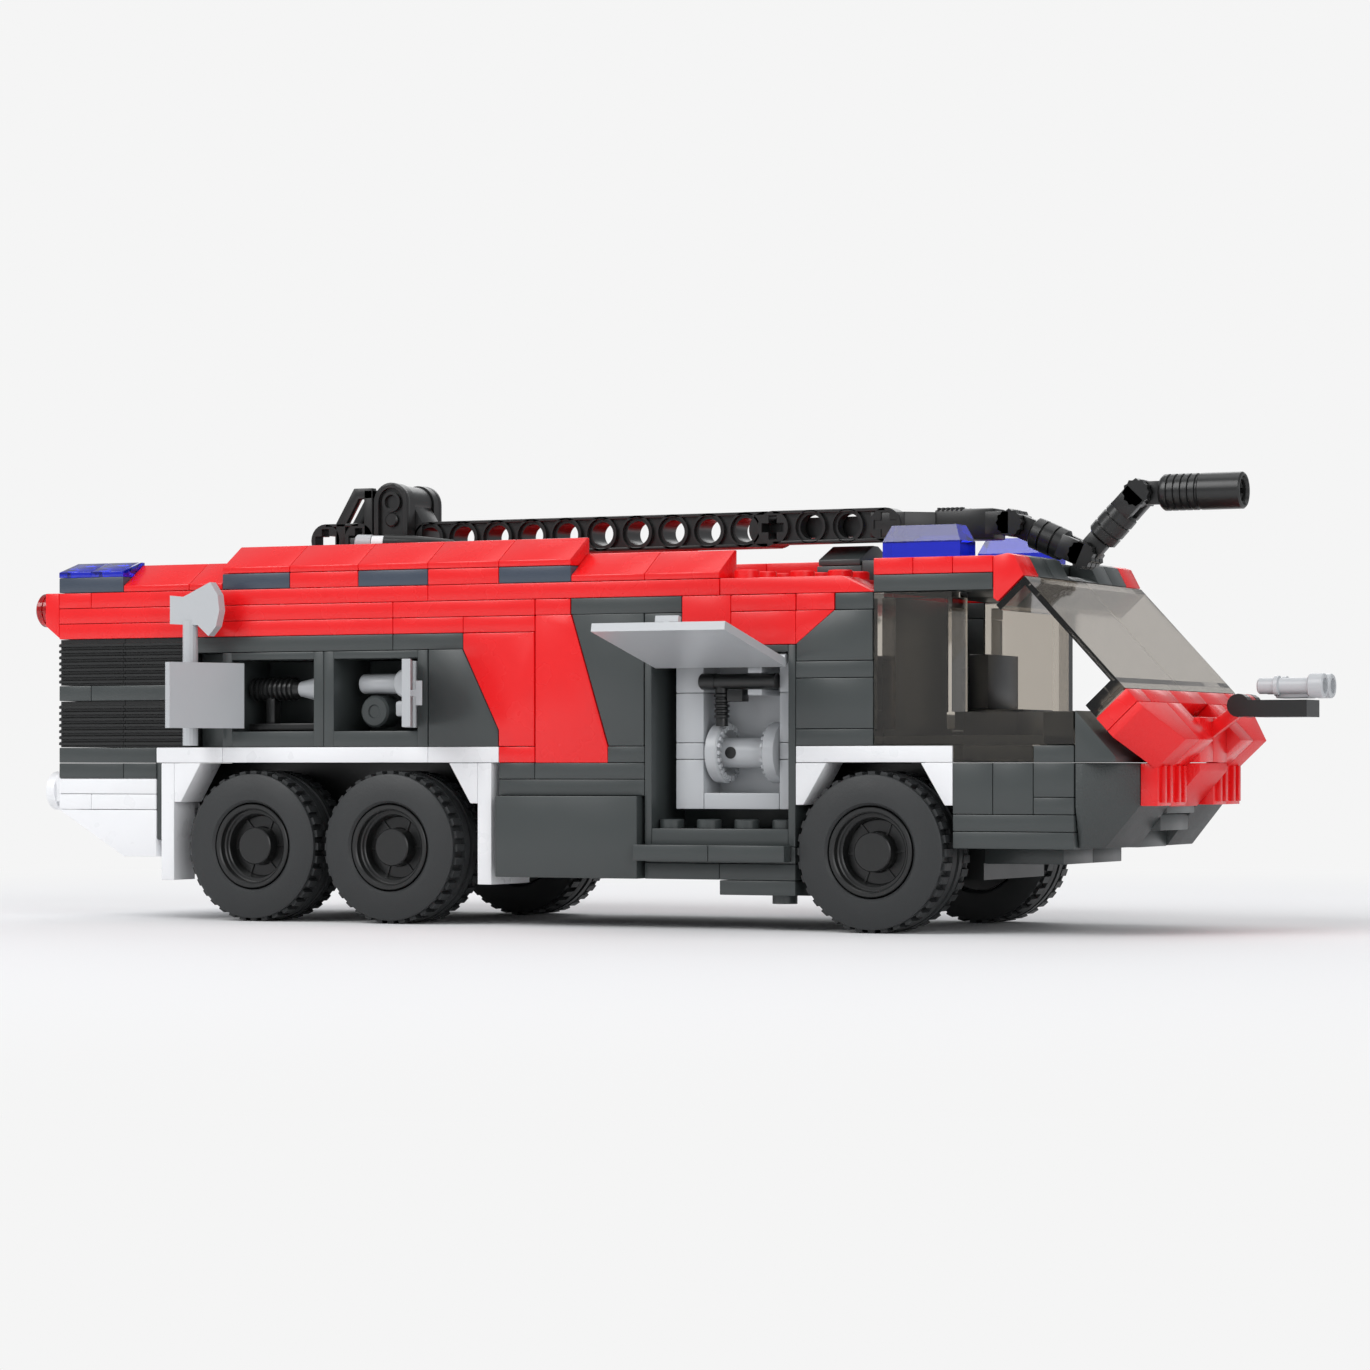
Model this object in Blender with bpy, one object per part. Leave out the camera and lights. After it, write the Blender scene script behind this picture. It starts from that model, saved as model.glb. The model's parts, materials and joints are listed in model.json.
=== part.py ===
"""A brick-built toy airport fire truck, six wheels, on the 8 mm stud and 3.2 mm plate grid.

Lengths along the truck (X) and across it (Y) are counted in studs, heights (Z) in plates. along(), across()
and height() turn them to metres. X starts at the rear face of the side walls, Y at the centre line, Z at the ground.
Pieces that meet share a face on the grid, and draw_in() takes half the moulding gap off every face of each.
"""

import math

import bmesh
import bpy
import numpy as np
from mathutils import Matrix, Vector

# Driving sizes, in metres unless a name says studs or plates.
STUD = 0.008
PLATE = 0.0032
MOULD_GAP = 0.0003
HALF_WIDTH = 4  # studs from the centre line to the side faces
ARCH_TOP = 10  # plates

AXLE_SPREAD = 4  # studs between the two rear axles
REAR_BOGIE = 8  # studs to the middle of the rear axles
FRONT_AXLE = 23  # studs
TYRE_GAP = 0.0016  # between the two rear tyres, and above each tyre
TYRE_WIDTH = 0.0136
TYRE_DIAMETER = AXLE_SPREAD * STUD - TYRE_GAP
TYRE_SHOULDER = 0.0012
RIM_DIAMETER = 0.0176
HUB_DIAMETER = 0.0075
HUB_FACE = 0.0012  # thickness of the hub's closed outer face
HUB_RECESS = 0.0012
AXLE_DIAMETER = 0.0048
RUNNING_GAP = 0.0003
WHEEL_FACE = HALF_WIDTH * STUD + 0.0018  # from the centre line to a tyre's outer face

CUPBOARD_REAR = 5  # studs
CUPBOARD_LENGTH = 3  # studs, each of the two
CUPBOARD_SIDE = 0.0024
CUPBOARD_TOP = 0.0016
CUPBOARD_BACK = 0.0016
DOOR_THICKNESS = 0.00165
DOOR_CLEARANCE = 0.0003
HINGE_INSET = 0.0013  # hinge axis from the side wall it stands beside
HINGE_DEPTH = 0.0008  # hinge axis behind the outer face
HINGE_RADIUS = 0.00095
REAR_DOOR_OPEN = 115.0  # degrees
FRONT_DOOR_OPEN = 118.0

BAY_REAR = 17  # studs
BAY_LENGTH = 4  # studs
BAY_SIDE = 0.0016
BAY_BACK = 0.0016
FLAP_LENGTH = 0.0278
FLAP_THICKNESS = 0.0016
FLAP_OPEN = 103.0
STEP_DEPTH = 0.0035

HANDLE_SPAN = 0.0048
HANDLE_THICK = 0.0012
HANDLE_STAND = 0.0022

SCREEN_BOTTOM = (29.25, 14.25)  # studs and plates, the glass's bottom outer corner
SCREEN_DEPTH = STUD
SCREEN_GLASS = 0.0014
SCREEN_FOOT = PLATE
SCREEN_HEAD = 0.0016
SCREEN_TOP_FROM_ROOF = 0.0063  # glass top ahead of the roof plate's end

BEAM_WIDTH = STUD - 2 * MOULD_GAP
BEAM_HEIGHT = 0.0070
BEAM_HOLE = 0.0048
BOOM_LEVEL = 0.0078  # beam's middle above the roof deck
PIVOT_DROP = 0.0076  # beam's middle below the lift pivot
PIVOT_RADIUS = 0.0036
CHEEK_THICKNESS = 0.0032
LINK_LENGTH = 2 * STUD
LINK_RADIUS = 0.0032
KNUCKLE_RADIUS = 0.0027
LINK_CLEAR = 0.0043  # from a click hinge's axis to the round bar on either side
FINGER_ROOT = 0.0004  # how far a finger reaches into its bar
CANNON_RADIUS = 0.0035
CANNON_LENGTH = 0.0205

AXE_HANDLE = 0.0031
AXE_STAND = 0.0045  # handle's middle outside the side face

TAIL_BRACKET = 0.0034
TAIL_LIGHT = 0.0030
TAIL_LIGHT_DIAMETER = 0.0070
NOZZLE_REACH = 0.0225  # bumper nozzle's tip ahead of the nose

# Worked out from the sizes above.
INNER = HALF_WIDTH - 1  # studs, the inner face of the outer row of bricks
DEEP = HALF_WIDTH - 2  # studs, the back of the cupboards and bays, and the side of the core
LIFT = TYRE_DIAMETER + TYRE_GAP - ARCH_TOP * PLATE
ROOF_END = 26  # studs
NOSE_FRONT = 30  # studs
REAR_END = -TAIL_BRACKET - TAIL_LIGHT
FRONT_END = NOSE_FRONT * STUD + NOZZLE_REACH
CENTRE = (REAR_END + FRONT_END) / 2
TYRE_RADIUS = TYRE_DIAMETER / 2
REAR_AXLES = (REAR_BOGIE - AXLE_SPREAD / 2, REAR_BOGIE + AXLE_SPREAD / 2)
SIDES = (("right", -1), ("left", 1))


def along(studs):
    """X of a station counted in studs from the rear of the side walls."""
    return studs * STUD - CENTRE


def across(studs):
    """Y of a station counted in studs from the centre line."""
    return studs * STUD


def height(plates):
    """Z of a level counted in plates."""
    return plates * PLATE + LIFT


# Materials: name, linear colour, roughness, alpha.
PLASTICS = {
    name: (colour, roughness, alpha)
    for name, colour, roughness, alpha in (
        ("red_abs", (0.76, 0.015, 0.012), 0.28, 1.0),
        ("dark_grey_abs", (0.050, 0.057, 0.056), 0.35, 1.0),
        ("black_abs", (0.012, 0.012, 0.013), 0.32, 1.0),
        ("white_abs", (0.86, 0.86, 0.87), 0.30, 1.0),
        ("light_grey_abs", (0.52, 0.53, 0.55), 0.32, 1.0),
        ("smoke_polycarbonate", (0.16, 0.15, 0.14), 0.10, 0.45),
        ("blue_polycarbonate", (0.010, 0.012, 0.42), 0.10, 0.70),
        ("red_polycarbonate", (0.45, 0.010, 0.010), 0.10, 0.70),
        ("tyre_rubber", (0.020, 0.021, 0.022), 0.62, 1.0),
    )
}


def plastic(name):
    """The Principled material of one of the moulded plastics, made once."""
    known = bpy.data.materials.get(name)
    if known:
        return known
    colour, roughness, alpha = PLASTICS[name]
    made = bpy.data.materials.new(name)
    made.use_nodes = True
    shader = made.node_tree.nodes["Principled BSDF"]
    shader.inputs["Base Color"].default_value = (*colour, 1.0)
    shader.inputs["Roughness"].default_value = roughness
    shader.inputs["Metallic"].default_value = 0.0
    shader.inputs["Alpha"].default_value = alpha
    made.diffuse_color = (*colour, alpha)
    return made


def object_of(bm, name="shape"):
    """An object that holds a bmesh, with its faces turned outward."""
    bmesh.ops.recalc_face_normals(bm, faces=bm.faces)
    mesh = bpy.data.meshes.new(name)
    bm.to_mesh(mesh)
    bm.free()
    made = bpy.data.objects.new(name, mesh)
    bpy.context.scene.collection.objects.link(made)
    return made


def loft(levels):
    """A closed solid through outlines of (x, y, z) points that have the same number of corners."""
    bm = bmesh.new()
    rings = [[bm.verts.new(p) for p in level] for level in levels]
    for a, b in zip(rings, rings[1:]):
        for k in range(len(a)):
            bm.faces.new([a[k], a[(k + 1) % len(a)], b[(k + 1) % len(b)], b[k]])
    bm.faces.new(rings[0])
    bm.faces.new(rings[-1])
    return object_of(bm)


PLACES = {
    "x": lambda a, b, t: (t, a, b),
    "y": lambda a, b, t: (a, t, b),
    "z": lambda a, b, t: (a, b, t),
}


def prism(axis, outline, span):
    """An outline of (a, b) points in metres carried along an axis, with a and b in X, Y, Z order."""
    place = PLACES[axis]
    return loft([[place(a, b, t) for a, b in outline] for t in span])


def block(x0, x1, y0, y1, h0, h1):
    """A box between stations in studs and levels in plates."""
    outline = [(along(x), across(y)) for x, y in ((x0, y0), (x1, y0), (x1, y1), (x0, y1))]
    return prism("z", outline, (height(h0), height(h1)))


def side_wall(outline, y0, y1):
    """An outline of (studs, plates) extruded across the truck between two stations in studs."""
    return prism("y", [(along(x), height(h)) for x, h in outline], (across(y0), across(y1)))


def mirrored_studs(side, y0, y1):
    """The span y0 to y1, counted outward from the centre line, on side -1 or 1."""
    return (y0, y1) if side > 0 else (-y1, -y0)


def turned(profile, sides, axis="y", centre=(0, 0, 0), closed=False):
    """A profile of (distance along the axis, radius) points turned about an axis through centre."""
    bm = bmesh.new()
    frame = {"x": (1, 2, 0), "y": (0, 2, 1), "z": (0, 1, 2)}[axis]
    rings = []
    for t, r in profile:
        ring = []
        count = sides if r > 1e-9 else 1
        for k in range(count):
            turn = 2 * math.pi * k / sides - math.pi / 2
            place = [0.0, 0.0, 0.0]
            place[frame[0]] = r * math.cos(turn)
            place[frame[1]] = r * math.sin(turn)
            place[frame[2]] = t
            ring.append(bm.verts.new(Vector(place) + Vector(centre)))
        rings.append(ring)
    pairs = list(zip(rings, rings[1:]))
    if closed:
        pairs.append((rings[-1], rings[0]))
    for a, b in pairs:
        for k in range(sides):
            corners = [a[k % len(a)], a[(k + 1) % len(a)], b[(k + 1) % len(b)], b[k % len(b)]]
            distinct = list(dict.fromkeys(corners))
            if len(distinct) > 2:
                bm.faces.new(distinct)
    if not closed:
        for ring in (rings[0], rings[-1]):
            if len(ring) > 1:
                bm.faces.new(ring)
    return object_of(bm)


def rod(axis, centre, radius, span, sides=16):
    """A round bar along an axis, between two distances from centre."""
    return turned([(span[0], radius), (span[1], radius)], sides, axis, centre)


def evaluated(made):
    """Applies the object's modifiers to its own mesh."""
    graph = bpy.context.evaluated_depsgraph_get()
    mesh = bpy.data.meshes.new_from_object(made.evaluated_get(graph))
    made.modifiers.clear()
    made.data = mesh
    return made


def combine(base, others, operation):
    """A Boolean of base with each of the others, which are used up."""
    for other in others:
        modifier = base.modifiers.new(operation.lower(), "BOOLEAN")
        modifier.operation = operation
        modifier.solver = "EXACT"
        modifier.object = other
    evaluated(base)
    for other in others:
        bpy.data.objects.remove(other)
    return base


def union(base, *others):
    return combine(base, others, "UNION")


def cut(base, *others):
    return combine(base, others, "DIFFERENCE")


def draw_in(made, distance):
    """Moves every face of a flat-sided solid inward by a distance, keeping its corners sharp."""
    bm = bmesh.new()
    bm.from_mesh(made.data)
    bmesh.ops.remove_doubles(bm, verts=bm.verts, dist=1e-6)
    bmesh.ops.dissolve_limit(bm, angle_limit=math.radians(0.05), verts=bm.verts, edges=bm.edges)
    bm.normal_update()
    moves = {}
    for vert in bm.verts:
        normals = []
        for face in vert.link_faces:
            if all(face.normal.dot(n) < 0.9999 for n in normals):
                normals.append(face.normal.copy())
        rows = np.array([list(n) for n in normals])
        moves[vert] = np.linalg.lstsq(rows, np.full(len(rows), -distance), rcond=1e-3)[0]
    for vert, move in moves.items():
        vert.co += Vector(move)
    bmesh.ops.recalc_face_normals(bm, faces=bm.faces)
    bm.to_mesh(made.data)
    bm.free()
    return made


def finish(name, made, material, pivot=None, smooth=False):
    """Names a solid as a node, gives it its plastic, and puts its origin on its joint's axis."""
    made.name = name
    made.data.name = name
    made.data.materials.clear()
    made.data.materials.append(plastic(material))
    if pivot is not None:
        made.data.transform(Matrix.Translation(-Vector(pivot)))
        made.location = pivot
    if smooth:
        made.data.shade_smooth()
        made.data.set_sharp_from_angle(angle=math.radians(35))
    return made


def brick_node(name, made, material):
    """A piece on the grid, with the moulding gap to its neighbours."""
    return finish(name, draw_in(made, MOULD_GAP / 2), material)


# Chassis and wheels


def build_chassis():
    """The black spine between the wheels, with the closed core that carries the body, and the axle tunnels."""
    boxes = (
        # x0, x1, y0, y1, h0, h1
        (3, 25, -DEEP, DEEP, 3, 10),
        (4, 12, -DEEP, DEEP, 10, 11),
        (13, 21, -DEEP, DEEP, 10, 11),
        (1, 21, -DEEP, DEEP, 11, 18),
        (1, 4, -INNER, INNER, 11, 18),
        (25, 27, -DEEP, DEEP, 4, 5),
        (19, 21, -INNER, INNER, 2, 3),
    )
    first, *rest = [block(*box) for box in boxes]
    spine = union(first, *rest)
    tunnels = [
        rod("y", (along(x), 0, TYRE_RADIUS), AXLE_DIAMETER / 2 + RUNNING_GAP, (-0.05, 0.05))
        for x in (*REAR_AXLES, FRONT_AXLE)
    ]
    brick_node("chassis", cut(spine, *tunnels), "black_abs")


def build_axle(name, station):
    """A round axle right across the truck, which both wheels turn on."""
    reach = WHEEL_FACE - HUB_RECESS - HUB_FACE - RUNNING_GAP
    bar = rod("y", (along(station), 0, TYRE_RADIUS), AXLE_DIAMETER / 2, (-reach, reach))
    finish(name, bar, "black_abs", smooth=True)


def build_wheel(place, side_name, side, station):
    """A rim with a blind bore on the axle, and the tyre round it."""
    centre = (along(station), 0, TYRE_RADIUS)
    outer = side * WHEEL_FACE
    inner = outer - side * TYRE_WIDTH
    rim_radius = RIM_DIAMETER / 2 - MOULD_GAP
    bore = AXLE_DIAMETER / 2 + RUNNING_GAP
    hub = HUB_DIAMETER / 2
    face = outer - side * HUB_RECESS
    dish = outer - side * 0.0060
    rim_profile = (
        # along the axle, radius
        (inner + side * 0.0010, 0.0),
        (inner + side * 0.0010, rim_radius),
        (outer - side * 0.0006, rim_radius),
        (outer - side * 0.0006, rim_radius - 0.0010),
        (dish, rim_radius - 0.0022),
        (dish, hub),
        (face, hub),
        (face, 0.0),
    )
    rim = turned(rim_profile, 24, centre=centre)
    hole = rod("y", centre, bore, sorted((inner - side * 0.01, face - side * HUB_FACE)))
    rim = cut(rim, hole)
    finish(f"rim_{place}_{side_name}", rim, "black_abs", pivot=centre, smooth=True)
    shoulder = TYRE_RADIUS - TYRE_SHOULDER
    tyre_profile = (
        (outer, RIM_DIAMETER / 2),
        (outer, shoulder),
        (outer - side * TYRE_SHOULDER, TYRE_RADIUS),
        (inner + side * TYRE_SHOULDER, TYRE_RADIUS),
        (inner, shoulder),
        (inner, RIM_DIAMETER / 2),
    )
    tyre = turned(tyre_profile, 36, centre=centre, closed=True)
    finish(f"tyre_{place}_{side_name}", tyre, "tyre_rubber", pivot=centre, smooth=True)


# Lower body


def build_rear_bumper():
    """The white rear skirt with its undercut, and the rounded bar behind it."""
    skirt = side_wall([(0, 9), (0, 7), (2, 4), (3, 4), (3, 9)], -HALF_WIDTH, HALF_WIDTH)
    end = HALF_WIDTH - 0.1
    bar = side_wall([(0, 7), (-0.3, 7), (-0.5, 7.5), (-0.5, 8.9), (-0.3, 9.4), (0, 9.4)], -end, end)
    brick_node("rear_bumper", union(skirt, bar), "white_abs")


def build_rear_body():
    """The dark rows above the rear bumper, and the thin posts between bumper and mudguard."""
    parts = [block(0, 3, -HALF_WIDTH, HALF_WIDTH, 9, 11), block(3, 4, -INNER, INNER, 10.4, 11)]
    for _, side in SIDES:
        parts.append(block(3, 3.15, *mirrored_studs(side, INNER, HALF_WIDTH), 5, 10))
    brick_node("rear_body", union(*parts), "dark_grey_abs")


def build_engine_grille():
    """The black louvred cover round the engine, on both sides and across the back."""
    parts = [block(0, 1, -INNER, INNER, 11, 18)]
    for _, side in SIDES:
        parts.append(block(0, 4, *mirrored_studs(side, INNER, HALF_WIDTH), 11, 18))
    brick_node("engine_grille", union(*parts), "black_abs")


ARCH_PLATE = 0.4  # studs, the thickness of a sideways plate
CORNER_FALL = 2.5  # plates, the height of an arch corner
CORNER_DEPTH = 0.8  # studs, an arch corner at its top
CORNER_LIP = 0.2  # studs, an arch corner at its bottom


def arch_corner(station, direction):
    """The outline of the small slope in a wheel arch's top corner, from a station towards direction."""
    return [
        (station, ARCH_TOP),
        (station + direction * CORNER_DEPTH, ARCH_TOP),
        (station + direction * CORNER_LIP, ARCH_TOP - CORNER_FALL),
        (station, ARCH_TOP - CORNER_FALL),
    ]


def build_rear_mudguards():
    """The white arches round the rear wheels, with the stripe above, joined across the truck."""
    arch_rear, arch_front = 3.55, 12.4
    parts = [block(12, 13, -INNER, INNER, 10, 11)]
    for _, side in SIDES:
        outer = mirrored_studs(side, INNER, HALF_WIDTH)
        deep = mirrored_studs(side, DEEP, HALF_WIDTH)
        parts.append(block(3, 13, *outer, 10, 11))
        parts.append(block(arch_rear - ARCH_PLATE, arch_rear, *outer, 2.5, 10))
        parts.append(block(arch_front, arch_front + ARCH_PLATE, *deep, 2.5, 10))
        parts.append(side_wall(arch_corner(arch_rear, 1), *outer))
        parts.append(side_wall(arch_corner(arch_front, -1), *outer))
    brick_node("mudguards_rear", union(*parts), "white_abs")


def build_front_mudguards():
    """The white arches over the front wheels, joined across the truck."""
    parts = [block(22, 24, -INNER, INNER, 10, 11)]
    for _, side in SIDES:
        outer = mirrored_studs(side, INNER, HALF_WIDTH)
        parts.append(block(21, 25, *outer, 10, 11))
        parts.append(side_wall(arch_corner(21, 1), *outer))
        parts.append(side_wall(arch_corner(25, -1), *outer))
    brick_node("mudguards_front", union(*parts), "white_abs")


# Cupboards with hinged doors


def cupboard_span(number):
    """Inner X limits of cupboard 0, the rear one, or 1."""
    start = CUPBOARD_REAR + number * CUPBOARD_LENGTH
    return along(start) + CUPBOARD_SIDE, along(start + CUPBOARD_LENGTH) - CUPBOARD_SIDE


CUPBOARD_FLOOR = 12  # plates
CUPBOARD_ROOF = 17
CUPBOARD_INNER_TOP = height(CUPBOARD_ROOF) - CUPBOARD_TOP


def axe_place():
    """X of the axe's handle, midway along the recessed column, and its distance from the centre line."""
    return along(4.46), across(HALF_WIDTH) + AXE_STAND


def build_cupboard(side_name, side):
    """The dark side body with two open cupboards, the recessed column and the two clips that hold the axe."""
    end = CUPBOARD_REAR + 2 * CUPBOARD_LENGTH
    wedge = [(end, 11), (13, 11), (13, 12), (12, 17), (end, 17)]
    body = [
        block(CUPBOARD_REAR, end, *mirrored_studs(side, DEEP, HALF_WIDTH), 11, CUPBOARD_ROOF),
        block(4, 12, *mirrored_studs(side, INNER, HALF_WIDTH), CUPBOARD_ROOF, 18),
        block(4, CUPBOARD_REAR, *mirrored_studs(side, DEEP, INNER + 0.4), 11, CUPBOARD_ROOF),
        side_wall(wedge, *mirrored_studs(side, INNER, HALF_WIDTH)),
    ]
    axe_x, axe_y = axe_place()
    tip = axe_y - AXE_HANDLE / 2
    for level in (12.4, 16.2):
        clip = [(axe_x - 0.0016, height(level)), (axe_x + 0.0016, height(level))]
        clip += [(x, z + 0.8 * PLATE) for x, z in reversed(clip)]
        body.append(prism("y", clip, sorted((side * across(INNER + 0.2), side * tip))))
    made = union(*body)
    hollows = []
    for number in (0, 1):
        x0, x1 = cupboard_span(number)
        back = side * (across(DEEP) + CUPBOARD_BACK)
        mouth = side * (across(HALF_WIDTH) + 0.001)
        outline = [(x0, back), (x1, back), (x1, mouth), (x0, mouth)]
        hollows.append(prism("z", outline, (height(CUPBOARD_FLOOR), CUPBOARD_INNER_TOP)))
    brick_node(f"cupboards_{side_name}", cut(made, *hollows), "dark_grey_abs")


def door_hinge(number, side):
    """The point on a door's hinge axis: at the rear side of cupboard 0, the front side of cupboard 1."""
    x0, x1 = cupboard_span(number)
    x = x0 + HINGE_INSET if number == 0 else x1 - HINGE_INSET
    level = (height(CUPBOARD_FLOOR) + CUPBOARD_INNER_TOP) / 2
    return Vector((x, side * (across(HALF_WIDTH) - HINGE_DEPTH), level))


def t_handle(place, side, long_axis, stand):
    """A T-shaped pull at a place on a panel's outer face, which looks towards -Y or +Y."""
    x, z = place
    half = HANDLE_SPAN / 2
    thin = HANDLE_THICK / 2
    stem = prism(
        "y",
        [(x - thin, z - thin), (x + thin, z - thin), (x + thin, z + thin), (x - thin, z + thin)],
        sorted((0, side * stand)),
    )
    dx, dz = (half, thin) if long_axis == "x" else (thin, half)
    bar = prism(
        "y",
        [(x - dx, z - dz), (x + dx, z - dz), (x + dx, z + dz), (x - dx, z + dz)],
        sorted((side * (stand - HANDLE_THICK), side * stand)),
    )
    return union(stem, bar)


def build_door(number, side_name, side):
    """A light grey cupboard door with its hinge barrel and pull, swung open about its hinge."""
    x0, x1 = cupboard_span(number)
    width = x1 - x0 - HINGE_INSET - DOOR_CLEARANCE
    tall = CUPBOARD_INNER_TOP - height(CUPBOARD_FLOOR) - 2 * (DOOR_CLEARANCE + MOULD_GAP)
    reach = 1 if number == 0 else -1
    outline = [(0, 0), (reach * width, 0), (reach * width, -side * DOOR_THICKNESS), (0, -side * DOOR_THICKNESS)]
    panel = prism("z", outline, (-tall / 2, tall / 2))
    barrel = rod("z", (0, 0, 0), HINGE_RADIUS, (-tall / 2, tall / 2), sides=12)
    pull = t_handle((reach * (width - 0.0030), 0), side, "z", HANDLE_STAND)
    made = union(panel, barrel, pull)
    name = ("door_rear", "door_front")[number] + "_" + side_name
    finish(name, made, "light_grey_abs")
    swing = (REAR_DOOR_OPEN, FRONT_DOOR_OPEN)[number]
    made.location = door_hinge(number, side)
    made.rotation_euler = (0, 0, math.radians(swing * side * reach))


def build_axe(side_name, side):
    """A light grey fire axe, upright in its clips."""
    x, y = axe_place()
    middle = (x, side * (y + 2 * MOULD_GAP), 0)
    handle = rod("z", middle, AXE_HANDLE / 2, (height(11) + MOULD_GAP, height(19)), sides=14)
    head = [(-0.0062, 18.8), (-0.0062, 20.6), (-0.0030, 20.5), (0.0034, 21.4), (0.0052, 20.6)]
    head += [(0.0056, 19.6), (0.0048, 18.6), (0.0030, 18.0), (0.0004, 18.7)]
    outline = [(x + 0.0020 + dx, height(h)) for dx, h in head]
    blade = prism("y", outline, [middle[1] - 0.0011, middle[1] + 0.0011])
    finish(f"axe_{side_name}", union(handle, blade), "light_grey_abs")


# Middle of the body


def build_mid_body():
    """The dark sides between the red sash and the hose bays, proud below, joined by a plate over the core."""
    outline = [(13, 8), (17, 8), (17, 17), (18, 17), (18, 20), (15, 20), (15, 19), (16, 11), (16, 10), (13, 10)]
    parts = [block(15.5, 18, -INNER, INNER, 18, 19)]
    for _, side in SIDES:
        parts.append(side_wall(outline, *mirrored_studs(side, INNER, HALF_WIDTH)))
        parts.append(block(13, 17, *mirrored_studs(side, DEEP, HALF_WIDTH), 3, 8))
        parts.append(block(13, 16.9, *mirrored_studs(side, HALF_WIDTH, HALF_WIDTH + 0.2), 3, 8))
    brick_node("mid_body", union(*parts), "dark_grey_abs")


BAY_FLOOR = 6.07  # plates
BAY_ROOF = 16.57
BAY_SPAN = (along(BAY_REAR) + BAY_SIDE, along(BAY_REAR + BAY_LENGTH) - BAY_SIDE)


def build_hose_bay(side_name, side):
    """The dark hose bay, open at the side, on the rows below it, with the step in front of them."""
    end = BAY_REAR + BAY_LENGTH
    frame = block(BAY_REAR, end, *mirrored_studs(side, DEEP, HALF_WIDTH), 3, 17)
    step_out = HALF_WIDTH + STEP_DEPTH / STUD
    step = block(BAY_REAR - 0.1, end - 0.1, *mirrored_studs(side, HALF_WIDTH, step_out), 4.1, 5.1)
    back = side * (across(DEEP) + BAY_BACK)
    mouth = side * (across(HALF_WIDTH) + 0.001)
    outline = [(BAY_SPAN[0], back), (BAY_SPAN[1], back), (BAY_SPAN[1], mouth), (BAY_SPAN[0], mouth)]
    hollow = prism("z", outline, (height(BAY_FLOOR), height(BAY_ROOF)))
    brick_node(f"hose_bay_{side_name}", cut(union(frame, step), hollow), "dark_grey_abs")


RACK_DEPTH = 1.2  # studs
REEL_LEVEL = 10.6  # plates
REEL_RADIUS = 0.0052


def build_hose_rack(side_name, side):
    """The light grey rack in the hose bay: back plate, two posts, sill and the hose reel between them."""
    x0, x1 = 17.55, 20.7
    back = mirrored_studs(side, DEEP + 0.24, DEEP + 0.45)
    deep = mirrored_studs(side, DEEP + 0.3, DEEP + 0.2 + RACK_DEPTH)
    parts = [
        block(x0, x1, *back, 7.2, 16.2),
        block(x0, x0 + 0.75, *deep, 7.2, 16.2),
        block(x1 - 0.4, x1, *deep, 7.2, 16.2),
        block(x0, x1, *deep, 7.2, 8.2),
    ]
    y = side * across(DEEP + 0.97)
    centre = (0, y, height(REEL_LEVEL))
    parts.append(rod("x", centre, 0.0029, (along(x0) + 0.001, along(x1) - 0.001), sides=12))
    for station in (18.6, 20.0):
        span = (along(station), along(station + 0.28))
        parts.append(rod("x", centre, REEL_RADIUS, span, sides=16))
    finish(f"hose_rack_{side_name}", union(*parts), "light_grey_abs")


def flap_hinge(side):
    """The point on a hose bay flap's hinge axis, under the top of the opening."""
    return Vector(
        (
            (BAY_SPAN[0] + BAY_SPAN[1]) / 2,
            side * (across(HALF_WIDTH) - HINGE_DEPTH),
            height(BAY_ROOF) - HINGE_INSET,
        )
    )


def build_flap(side_name, side):
    """The light grey flap of the hose bay, swung up about its top edge."""
    half = (BAY_SPAN[1] - BAY_SPAN[0]) / 2 - DOOR_CLEARANCE - MOULD_GAP
    outline = [(-half, 0), (half, 0), (half, -FLAP_LENGTH), (-half, -FLAP_LENGTH)]
    panel = prism("y", outline, sorted((0, -side * FLAP_THICKNESS)))
    barrel = rod("x", (0, 0, 0), HINGE_RADIUS, (-half, half), sides=12)
    pull = t_handle((0, -FLAP_LENGTH + 0.0040), side, "x", HANDLE_STAND)
    made = union(panel, barrel, pull)
    finish(f"flap_{side_name}", made, "light_grey_abs")
    made.location = flap_hinge(side)
    made.rotation_euler = (math.radians(FLAP_OPEN * side), 0, 0)


# Red upper body

SLOPE_LIP = 0.4  # plates
SLOPE_RISE = 1.8  # plates


def roof_slope(x0, x1, level, side):
    """A run of roof edge slopes, low at the side face and high at the inner edge."""
    outline = [
        (side * across(HALF_WIDTH), height(level)),
        (side * across(HALF_WIDTH), height(level + SLOPE_LIP)),
        (side * across(INNER + 0.1), height(level + SLOPE_RISE)),
        (side * across(INNER), height(level + SLOPE_RISE)),
        (side * across(INNER), height(level)),
    ]
    return prism("x", outline, (along(x0), along(x1)))


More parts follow.
